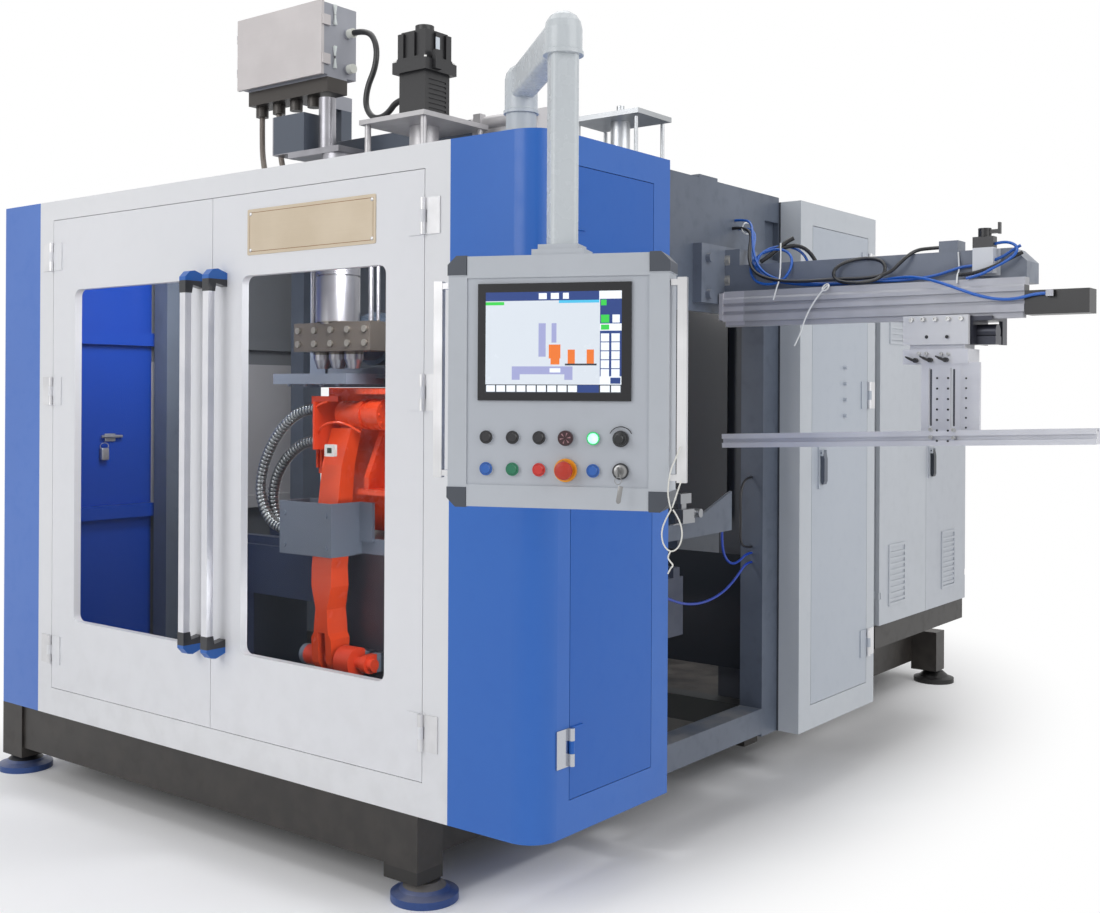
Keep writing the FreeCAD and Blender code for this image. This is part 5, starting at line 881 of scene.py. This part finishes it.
def makeBuzzer():
    # buzzer cap with radial slots, in the first row of the operator panel
    buzzer = {"place": (0.023, -0.0475, 1.246), "radius": 0.0165, "height": 0.008, "slots": 6,
        "slotAngle": 21, "rim": 0.0015, "rimUp": 0.0012, "dish": 0.0025, "slotEdge": 0.003, "slotIn": 0.0004,
        "slotDeep": 0.001}
    cap = startDisc("buzzerCap", (0, 0, buzzer["height"] / 2), buzzer["radius"] * 2, buzzer["height"], 36)
    cap.data.materials.append(paint("buzzerDark", colour=(54, 24, 30), gloss=0.3))
    cap.data.materials.append(paint("buzzerSlots", colour=(196, 150, 156), gloss=0.4))
    editing(True)
    choose(cap, lambda spot, way: way.z > 0.9)
    insetPush(buzzer["rim"], (0, 0, buzzer["rimUp"]))
    bpy.ops.mesh.inset(thickness=buzzer["dish"])
    bpy.ops.mesh.poke()

    def inSlot(spot, way):
        share = (math.degrees(math.atan2(spot.y, spot.x)) + 360) % (360 / buzzer["slots"])
        inside = spot.xy.length < buzzer["radius"] - buzzer["slotEdge"]
        return way.z > 0.9 and inside and share < buzzer["slotAngle"]

    choose(cap, inSlot)
    insetPush(buzzer["slotIn"], (0, 0, -buzzer["slotDeep"]))
    wearSecond(cap)
    editing(False)
    cap = repeat(cap, "buzzerCap", [(panelSpot(*buzzer["place"]), panelTurn @ faceForward)])
    finishPiece(cap, [], "panel_body")


def makeCollars():
    # yellow ring under the stop button, dark bezels round the two turned switches
    collars = {"stopCollar": {"spots": [(3, 1.177)], "front": -0.0472, "inner": 0.0213, "outer": 0.0252,
        "height": 0.0052, "slot": "clamp_orange", "colour": (238, 158, 34)},
        "switchCollars": {"spots": [(5, 1.246), (5, 1.177)], "front": -0.0472, "inner": 0.0146,
        "outer": 0.0176, "height": 0.003, "slot": "button_black", "colour": (46, 47, 51)}}
    for name, collar in collars.items():
        ring = startDisc("collar", (0, 0, collar["height"] / 2), collar["outer"] * 2, collar["height"], 36)
        editing(True)
        choose(ring, lambda spot, way: abs(way.z) > 0.9)
        bpy.ops.mesh.inset(thickness=collar["outer"] - collar["inner"])
        bpy.ops.mesh.bridge_edge_loops()
        editing(False)
        places = [(panelSpot(buttonColumns[column], collar["front"], row), panelTurn @ faceForward)
            for column, row in collar["spots"]]
        rings = repeat(ring, name, places)
        finishPiece(rings, paint(name + "Skin", colour=collar["colour"], gloss=0.3), "panel_body")


def makeKey():
    # key in the switch, a ring through its head and the second key hanging from it
    key = {"switch": (0.143, -0.064, 1.177), "head": 0.013, "thick": 0.002, "ring": 0.014, "spare": 0.034}
    steel = bareMetal("keyBright", colour=(150, 150, 150), gloss=0.3, metal=0.6)
    parts = []
    for name, size, shift, tilt in (("keyHead", (key["thick"], key["head"], key["head"]),
            (0, -0.012, -0.002), 0), ("spareKey", (key["head"] * 0.8, key["thick"], key["spare"]),
            (0.004, -0.012, -0.046), 9)):
        blade = startShape("box", name, (0, 0, 0), size)
        editing(True)
        roundAll(key["thick"] * 0.45)
        choose(blade, lambda spot, way: way.z < -0.9)
        pushFaces((0, 0, -key["head"] * 0.3))
        bpy.ops.transform.resize(value=(0.5, 0.6, 1))
        editing(False)
        spot = Vector(key["switch"]) + Vector(shift)
        parts.append((blade, spot, Matrix.Rotation(math.radians(tilt), 4, "Y")))
    ring = startShape("ring", "keyRing", (0, 0, 0), (key["ring"], key["ring"], key["ring"]), corners=28)
    editing(True)
    chooseAll()
    bpy.ops.transform.resize(value=(1, 1.12, 0.8))
    editing(False)
    parts.append((ring, Vector(key["switch"]) + Vector((0.001, -0.013, -0.018)),
        Matrix.Rotation(math.radians(24), 4, "Z") @ faceForward))
    for piece, spot, turn in parts:
        name = piece.name
        done = repeat(piece, name, [(panelSpot(*spot), panelTurn @ turn)])
        finishPiece(done, steel, "key_body")


def makeFlatCurve(name, points, radius, body, material, closed=False):
    # a bent tie, cable or string, made a mesh at once
    line = startCurve(name, points, 5, radius, closed)
    line.data.use_fill_caps = True
    pick(line)
    bpy.ops.object.convert(target="MESH")
    line = bpy.context.active_object
    editing(True)
    chooseAll()
    bpy.ops.mesh.remove_doubles(threshold=0.00005)
    bpy.ops.mesh.normals_make_consistent(inside=False)
    editing(False)
    return finishPiece(line, material, body)


tieWhite = paint("tieWhite", colour=(232, 234, 234), gloss=0.35, peel=700.0)
stringWhite = paint("stringWhite", colour=(224, 224, 218), second=(196, 192, 184), gloss=0.6, peel=900.0,
    bump=0.4, depth=0.001)
# ties, spare loops and thin cables
looseLines = {
    "leftBeamTie": {"radius": 0.0022, "skin": tieWhite, "points": [(0.574, 0.893, 1.788),
        (0.577, 0.888, 1.745), (0.582, 0.876, 1.7), (0.586, 0.862, 1.672), (0.582, 0.855, 1.655),
        (0.572, 0.853, 1.618)]},
    "rightBeamTie": {"radius": 0.0022, "skin": tieWhite, "points": [(1.103, 0.8965, 1.7275),
        (1.106, 0.894, 1.7), (1.109, 0.886, 1.675), (1.112, 0.862, 1.662), (1.114, 0.8565, 1.64)]},
    "frontTie": {"radius": 0.0022, "skin": tieWhite, "points": [(0.742, 0.866, 1.655), (0.735, 0.856, 1.65),
        (0.722, 0.853, 1.632), (0.706, 0.85, 1.612), (0.686, 0.848, 1.58), (0.672, 0.847, 1.548),
        (0.662, 0.846, 1.515), (0.644, 0.846, 1.483)]},
    "frontTieKnot": {"radius": 0.0022, "skin": tieWhite, "closed": True,
        "points": [(0.728, 0.853, 1.636), (0.741, 0.852, 1.64), (0.748, 0.853, 1.65), (0.741, 0.862, 1.658),
        (0.73, 0.864, 1.656), (0.724, 0.858, 1.646)]},
    "outletTie": {"radius": 0.0022, "skin": tieWhite, "closed": True,
        "points": [(0.392, 0.985, 1.846), (0.384, 1.008, 1.868), (0.378, 1.036, 1.88), (0.396, 1.048, 1.868),
        (0.408, 1.024, 1.845), (0.404, 0.994, 1.834)]},
    "motorCableLoop": {"radius": 0.005, "closed": True, "points": [(0.748, 0.876, 1.694),
        (0.758, 0.868, 1.668), (0.8, 0.861, 1.657), (0.85, 0.86, 1.656), (0.893, 0.864, 1.664),
        (0.908, 0.873, 1.686), (0.898, 0.885, 1.712), (0.862, 0.892, 1.726), (0.815, 0.893, 1.727),
        (0.77, 0.886, 1.716)]},
    "blueBeamLoop": {"radius": 0.004, "blue": True, "closed": True,
        "points": [(0.474, 0.892, 1.722), (0.484, 0.884, 1.692), (0.516, 0.868, 1.67), (0.56, 0.864, 1.664),
        (0.596, 0.872, 1.676), (0.612, 0.888, 1.712), (0.604, 0.908, 1.748), (0.57, 0.922, 1.772),
        (0.526, 0.92, 1.774), (0.488, 0.906, 1.754)]},
    "blueBackLoop": {"radius": 0.004, "blue": True, "points": [(0.5, 0.884, 1.7), (0.492, 0.892, 1.74),
        (0.508, 0.915, 1.772), (0.545, 0.94, 1.786), (0.592, 0.955, 1.778), (0.622, 0.96, 1.752),
        (0.628, 0.96, 1.733)]},
    "blackTail": {"radius": 0.0065, "points": [(0.498, 0.912, 1.738), (0.52, 0.918, 1.752),
        (0.548, 0.926, 1.774), (0.572, 0.934, 1.796), (0.592, 0.942, 1.806)]},
    "blackBackLoop": {"radius": 0.006, "points": [(0.56, 0.93, 1.776), (0.592, 0.94, 1.786),
        (0.622, 0.95, 1.776), (0.645, 0.958, 1.752), (0.652, 0.962, 1.735)]},
    "valveHoseNear": {"radius": 0.004, "blue": True, "points": [(1.204, 0.886, 1.742), (1.222, 0.886, 1.746),
        (1.25, 0.88, 1.742), (1.268, 0.876, 1.728), (1.262, 0.872, 1.708), (1.234, 0.868, 1.69),
        (1.206, 0.862, 1.676), (1.18, 0.856, 1.66), (1.14, 0.854, 1.652)]},
    "valveHoseFar": {"radius": 0.004, "blue": True, "points": [(1.204, 0.886, 1.7), (1.226, 0.886, 1.706),
        (1.252, 0.884, 1.724), (1.272, 0.886, 1.734)]},
    "tailCable": {"radius": 0.005, "points": [(1.11, 0.874, 1.664), (1.15, 0.866, 1.664),
        (1.2, 0.862, 1.676), (1.245, 0.872, 1.698), (1.276, 0.888, 1.716)]},
    "clampCableHigh": {"radius": 0.004, "orange": True, "body": "mould_carriage_body",
        "points": [(-0.96, 0.47, 1.196), (-0.962, 0.462, 1.238), (-0.95, 0.455, 1.28), (-0.92, 0.45, 1.306),
        (-0.88, 0.452, 1.312)]},
    "clampCableLow": {"radius": 0.004, "orange": True, "body": "mould_carriage_body",
        "points": [(-0.944, 0.466, 1.186), (-0.93, 0.456, 1.214), (-0.89, 0.446, 1.236),
        (-0.83, 0.44, 1.246), (-0.77, 0.442, 1.238), (-0.72, 0.45, 1.212)]},
}
for name, look in looseLines.items():
    skin = look.get("skin")
    if skin is None:
        shade = (24, 92, 184) if look.get("blue") else (226, 74, 34) if look.get("orange") else (34, 35, 38)
        skin = paint(name + "Skin", colour=shade, gloss=0.26, peel=900.0)
    makeFlatCurve(name, look["points"], look["radius"], look.get("body", "machine"), skin,
        look.get("closed", False))

# string on the left grip, across and up the panel
gripString = {
    "stringLeft": [(0.272, 1.232), (0.262, 1.205), (0.252, 1.185), (0.246, 1.14), (0.25, 1.112),
        (0.254, 1.1)],
    "stringRight": [(0.274, 1.16), (0.268, 1.14), (0.262, 1.122), (0.256, 1.104)],
    "stringLoop": [(0.254, 1.1), (0.24, 1.076), (0.233, 1.05), (0.238, 1.024), (0.254, 1.01), (0.272, 1.022),
        (0.279, 1.05), (0.272, 1.08), (0.258, 1.1)],
    "stringTail": [(0.254, 1.014), (0.246, 1.002), (0.252, 0.992), (0.26, 0.984), (0.252, 0.976),
        (0.248, 0.966)],
}
# how far before the panel it hangs, below and above the step
stringLook = {"radius": 0.0016, "step": 1.16, "below": -0.060, "above": -0.0565}
for name, spots in gripString.items():
    path = [panelSpot(x, stringLook["below" if z < stringLook["step"] else "above"], z) for x, z in spots]
    makeFlatCurve(name, path, stringLook["radius"], "panel_body", stringWhite)

# arc printed round the selector knob
dial = {"x": 0.143, "front": -0.0474, "z": 1.246, "radius": 0.026, "line": 0.0009,
    "angles": range(25, 156, 13)}
dialSpots = [panelSpot(dial["x"] + dial["radius"] * math.cos(math.radians(angle)), dial["front"],
    dial["z"] + dial["radius"] * math.sin(math.radians(angle))) for angle in dial["angles"]]
makeFlatCurve("dialArc", dialSpots, dial["line"], "panel_body",
    paint("dialInk", colour=(30, 30, 32), gloss=0.5))


conduits = {"radius": 0.019, "core": 0.0155, "pitch": 0.0145, "rib": 0.008, "edge": 0.0008, "swell": 1.35,
    "routes": {"outerConduit": [(-0.940, 0.470, 1.287), (-0.985, 0.470, 1.287), (-1.055, 0.466, 1.268),
    (-1.125, 0.460, 1.216), (-1.180, 0.456, 1.146), (-1.216, 0.453, 1.066), (-1.222, 0.450, 0.984),
    (-1.186, 0.450, 0.912), (-1.124, 0.450, 0.872), (-1.071, 0.450, 0.872)],
    "innerConduit": [(-0.940, 0.500, 1.181), (-0.985, 0.500, 1.181), (-1.056, 0.498, 1.166),
    (-1.122, 0.495, 1.126), (-1.176, 0.492, 1.066), (-1.202, 0.490, 0.990), (-1.192, 0.490, 0.916),
    (-1.140, 0.490, 0.862), (-1.071, 0.490, 0.862)]}}


def makeConduit(name, route, ribSkin, coreSkin):
    # ribbed metal conduit: a core, and a rib at every pitch along its line
    guide = startCurve(name + "Line", route, 24)
    trace = bpy.data.meshes.new_from_object(guide)
    spots = [vertex.co.copy() for vertex in trace.vertices]
    bpy.data.objects.remove(guide)
    bpy.data.meshes.remove(trace)
    places = []
    left = conduits["pitch"] / 2
    for first, last in zip(spots, spots[1:]):
        run = (last - first).length
        turn = (last - first).to_track_quat("Z", "Y").to_matrix().to_4x4()
        while left <= run and run > 0:
            places.append((first.lerp(last, left / run), turn))
            left += conduits["pitch"]
        left -= run
    rib = startDisc("conduitRib", (0, 0, 0), conduits["radius"] * 2, conduits["rib"], 20)
    editing(True)
    choose(rib, lambda spot, way: abs(way.z) > 0.9)
    bpy.ops.mesh.inset(thickness=conduits["edge"])
    bpy.ops.transform.resize(value=(1, 1, conduits["swell"]))
    editing(False)
    ribs = repeat(rib, name + "Ribs", places)
    core = makeFlatCurve(name, route, conduits["core"], "mould_carriage_body", coreSkin)
    ribs.data.materials.append(ribSkin)
    pick(core)
    ribs.select_set(True)
    bpy.ops.object.join()
    bpy.ops.object.shade_smooth_by_angle()
    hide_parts("ribbed_conduits")


def makeRearGuard():
    # dark guard sheet over the back of the cell, left of the extruder: folded edge and two pressed beads
    guard = {"left": -1.86, "right": -1.29, "low": 1.437, "high": 1.94, "front": 1.272, "thick": 0.003,
        "fold": 0.012, "beads": (1.60, 1.77), "bead": 0.012, "deep": 0.004}
    middle = ((guard["left"] + guard["right"]) / 2, guard["front"], (guard["low"] + guard["high"]) / 2)
    sheet = startShape("box", "rearGuard", middle, (guard["right"] - guard["left"], guard["thick"],
        guard["high"] - guard["low"]))
    editing(True)
    for level in guard["beads"]:
        for edge in (level - guard["bead"], level + guard["bead"]):
            cutFlat((0, 0, edge), (0, 0, 1))
    for level in guard["beads"]:
        choose(sheet, lambda spot, way: way.y < -0.9 and abs(spot.z - level) < guard["bead"])
        insetPush(guard["bead"] * 0.5, (0, -guard["deep"], 0))
    choose(sheet, lambda spot, way: way.x > 0.9)
    pushFaces((guard["thick"], 0, 0))
    choose(sheet, lambda spot, way: way.y > 0.9 and spot.x > guard["right"])
    pushFaces((0, guard["fold"], 0))
    editing(False)
    finishPiece(sheet, paint("rearGuardGrey", colour=(70, 75, 83), second=(56, 60, 68), gloss=0.36,
        dust=0.3), "machine")


def makeShieldFlange():
    # folded sheet behind the plate under the die head, above the clamp
    flange = {"left": -1.20, "right": -0.60, "front": 0.56, "back": 0.60, "low": 1.3625, "high": 1.392,
        "thick": 0.003}
    sheet = startShape("box", "shieldFlange", ((flange["left"] + flange["right"]) / 2,
        (flange["front"] + flange["back"]) / 2, flange["high"]), (flange["right"] - flange["left"],
        flange["back"] - flange["front"], flange["thick"]))
    editing(True)
    cutFlat((0, flange["back"] - flange["thick"], 0), (0, 1, 0))
    choose(sheet, lambda spot, way: way.z < -0.9 and spot.y > flange["back"] - flange["thick"])
    pushFaces((0, 0, flange["low"] - flange["high"]))
    editing(False)
    finishPiece(sheet, paint("shieldGrey", colour=(84, 90, 100), gloss=0.4), "machine")


def makeCellLatch():
    # slide latch with its padlock on the blue inner wall
    latch = {"wall": -1.976, "y": 0.345, "z": 1.172, "bar": 0.011, "reach": 0.082,
        "lock": (0.018, 0.032, 0.046), "plate": (0.007, 0.046, 0.03), "shackle": 0.024, "shackleUp": 0.030,
        "shackleCut": 0.018, "plateOut": 0.0035, "plateDown": 0.004, "plateCorner": 0.002, "barOut": 0.012,
        "knob": 0.003, "knobLong": 0.007, "lockOut": 0.014, "lockSide": 0.030, "lockDown": 0.066,
        "lockCorner": 0.004}
    steel = bareMetal("latchSteel", colour=(176, 178, 184), gloss=0.3, metal=0.6)
    plate = startShape("box", "latchPlate", (latch["wall"] + latch["plateOut"], latch["y"],
        latch["z"] - latch["plateDown"]), latch["plate"])
    editing(True)
    roundAll(latch["plateCorner"])
    editing(False)
    finishPiece(plate, steel, "machine")
    bar = startDisc("latchBar", (latch["wall"] + latch["barOut"], latch["y"], latch["z"]), latch["bar"],
        latch["reach"], 14, (math.radians(90), 0, 0))
    editing(True)
    choose(bar, lambda spot, way: way.y > 0.9)
    insetPush(-latch["knob"], (0, latch["knobLong"], 0))
    editing(False)
    finishPiece(bar, steel, "machine")
    spot = (latch["wall"] + latch["lockOut"], latch["y"] - latch["lockSide"], latch["z"] - latch["lockDown"])
    lock = startShape("box", "padlock", spot, latch["lock"])
    editing(True)
    roundAll(latch["lockCorner"], 3)
    editing(False)
    finishPiece(lock, steel, "machine")
    shackle = startShape("ring", "padlockShackle", (spot[0], spot[1], spot[2] + latch["shackleUp"]),
        (latch["shackle"], latch["shackle"] * 1.5, latch["shackle"]), turn=(0, math.radians(90), 0),
        corners=20)
    editing(True)
    cutFlat((0, 0, spot[2] + latch["shackleCut"]), (0, 0, 1), clear_inner=True, use_fill=True)
    editing(False)
    finishPiece(shackle, steel, "machine")


def makeSensorBox():
    # white position sensor with a dark window on the toggle lever
    sensor = {"middle": (-0.8445, 0.434, 1.15), "size": (0.046, 0.014, 0.04), "window": 0.011,
        "dish": 0.0015, "corner": 0.004}
    box = startShape("box", "leverSensor", sensor["middle"], sensor["size"])
    box.data.materials.append(paint("sensorWhite", colour=(226, 226, 222), gloss=0.3))
    box.data.materials.append(paint("sensorWindow", colour=(40, 60, 48), gloss=0.2))
    editing(True)
    choose(box, lambda spot, way: way.y < -0.9)
    insetPush(sensor["window"], (0, sensor["dish"], 0))
    wearSecond(box)
    choose(box, lambda spot, way: abs(way.y) > 0.9 and abs(spot.x - sensor["middle"][0]) > 0.02, "EDGE")
    bpy.ops.mesh.bevel(offset=sensor["corner"], segments=2)
    editing(False)
    finishPiece(box, [], "lever_body")


conduitSteel = bareMetal("conduitSteel", colour=(150, 154, 156), second=(104, 108, 111), metal=0.7,
    gloss=0.22)
conduitCore = paint("conduitCore", colour=(24, 26, 28), gloss=0.5)
for name, route in conduits["routes"].items():
    makeConduit(name, route, conduitSteel, conduitCore)
makeRearGuard()
makeShieldFlange()
makeCellLatch()
makeSensorBox()
makeNamePlate()
makeThumbLevers()
makeSlots()
makeBoxClips()
makeBuzzer()
makeCollars()
makeKey()
print("small pieces made")


# floor, backdrop and light

def paleFloor(name):
    # shadow-catching pale floor that turns to the white backdrop away from the object
    material, tree, shader = startMaterial(name)
    drift = noiseNode(tree, objectPoint(tree), 0.8, 4)
    tree.links.new(mixColour(tree, drift, linear(248, 248, 249), linear(242, 242, 244)),
        shader.inputs["Base Color"])
    shader.inputs["Roughness"].default_value = 0.7
    glow = tree.nodes.new("ShaderNodeEmission")
    glow.inputs["Color"].default_value = (1, 1, 1, 1)
    rays = tree.nodes.new("ShaderNodeLightPath")
    seen = mathNode(tree, "MAXIMUM", rays.outputs["Is Camera Ray"], rays.outputs["Is Glossy Ray"])
    plan = tree.nodes.new("ShaderNodeMapping")
    plan.vector_type = "TEXTURE"
    plan.inputs["Location"].default_value = (-0.2, 0.0, 0)
    plan.inputs["Scale"].default_value = (1.0, 1.75, 1)
    tree.links.new(objectPoint(tree), plan.inputs["Vector"])
    far = tree.nodes.new("ShaderNodeVectorMath")
    far.operation = "LENGTH"
    tree.links.new(plan.outputs[0], far.inputs[0])
    fade = spread(tree, far.outputs["Value"], 1.15, 1.95)
    blend = tree.nodes.new("ShaderNodeMixShader")
    tree.links.new(mathNode(tree, "MULTIPLY", fade, seen), blend.inputs[0])
    tree.links.new(shader.outputs[0], blend.inputs[1])
    tree.links.new(glow.outputs[0], blend.inputs[2])
    tree.links.new(blend.outputs[0], tree.nodes["Material Output"].inputs["Surface"])
    return material


bpy.ops.object.select_all(action="DESELECT")
bpy.ops.mesh.primitive_plane_add(size=60, location=(-0.7, 1.6, -0.0005))
floor = bpy.context.active_object
floor.name = "studioFloor"
floor.data.materials.append(paleFloor("paleFloor"))

world = bpy.data.worlds.new("paleRoom")
world.use_nodes = True
bpy.context.scene.world = world
worldTree = world.node_tree
sky = worldTree.nodes["Background"]
sky.inputs["Color"].default_value = (1, 1, 1, 1)
worldRays = worldTree.nodes.new("ShaderNodeLightPath")
shown = mathNode(worldTree, "MAXIMUM", worldRays.outputs["Is Camera Ray"],
    worldRays.outputs["Is Glossy Ray"])
shown = mathNode(worldTree, "MAXIMUM", shown, worldRays.outputs["Is Transmission Ray"])
worldTree.links.new(mathNode(worldTree, "MULTIPLY_ADD", shown, 0.58, 0.42), sky.inputs["Strength"])

lamps = {
    "frontSoftbox": {"place": (-1.5, -5.5, 3.6), "target": (-0.8, 0, 1.0), "size": 4.0, "watts": 150},
    "sideSoftbox": {"place": (5.0, 0.5, 3.6), "target": (0.2, 1.2, 1.0), "size": 4.0, "watts": 110},
    "topSoftbox": {"place": (-0.8, 1.2, 6.0), "target": (-0.8, 1.2, 0), "size": 5.0, "watts": 110},
    "cellLamp": {"place": (-0.45, 0.24, 1.8), "target": (-1.0, 0.7, 0.9), "size": 0.26, "watts": 6},
    "cellLeft": {"place": (-1.35, 0.22, 1.84), "target": (-1.95, 0.95, 1.2), "size": 0.3, "watts": 7},
    "cellFill": {"place": (-0.36, 0.24, 0.62), "target": (-1.1, 0.6, 1.0), "size": 0.26, "watts": 2.2},
}
for name, look in lamps.items():
    data = bpy.data.lights.new(name, "AREA")
    data.energy = look["watts"]
    data.size = look["size"]
    lamp = bpy.data.objects.new(name, data)
    bpy.context.scene.collection.objects.link(lamp)
    lamp.visible_camera = False
    lamp.location = look["place"]
    lamp.rotation_euler = (Vector(look["target"]) - Vector(look["place"])).to_track_quat("-Z", "Y").to_euler()
bpy.context.scene.view_settings.view_transform = "Standard"
print("floor and light set")
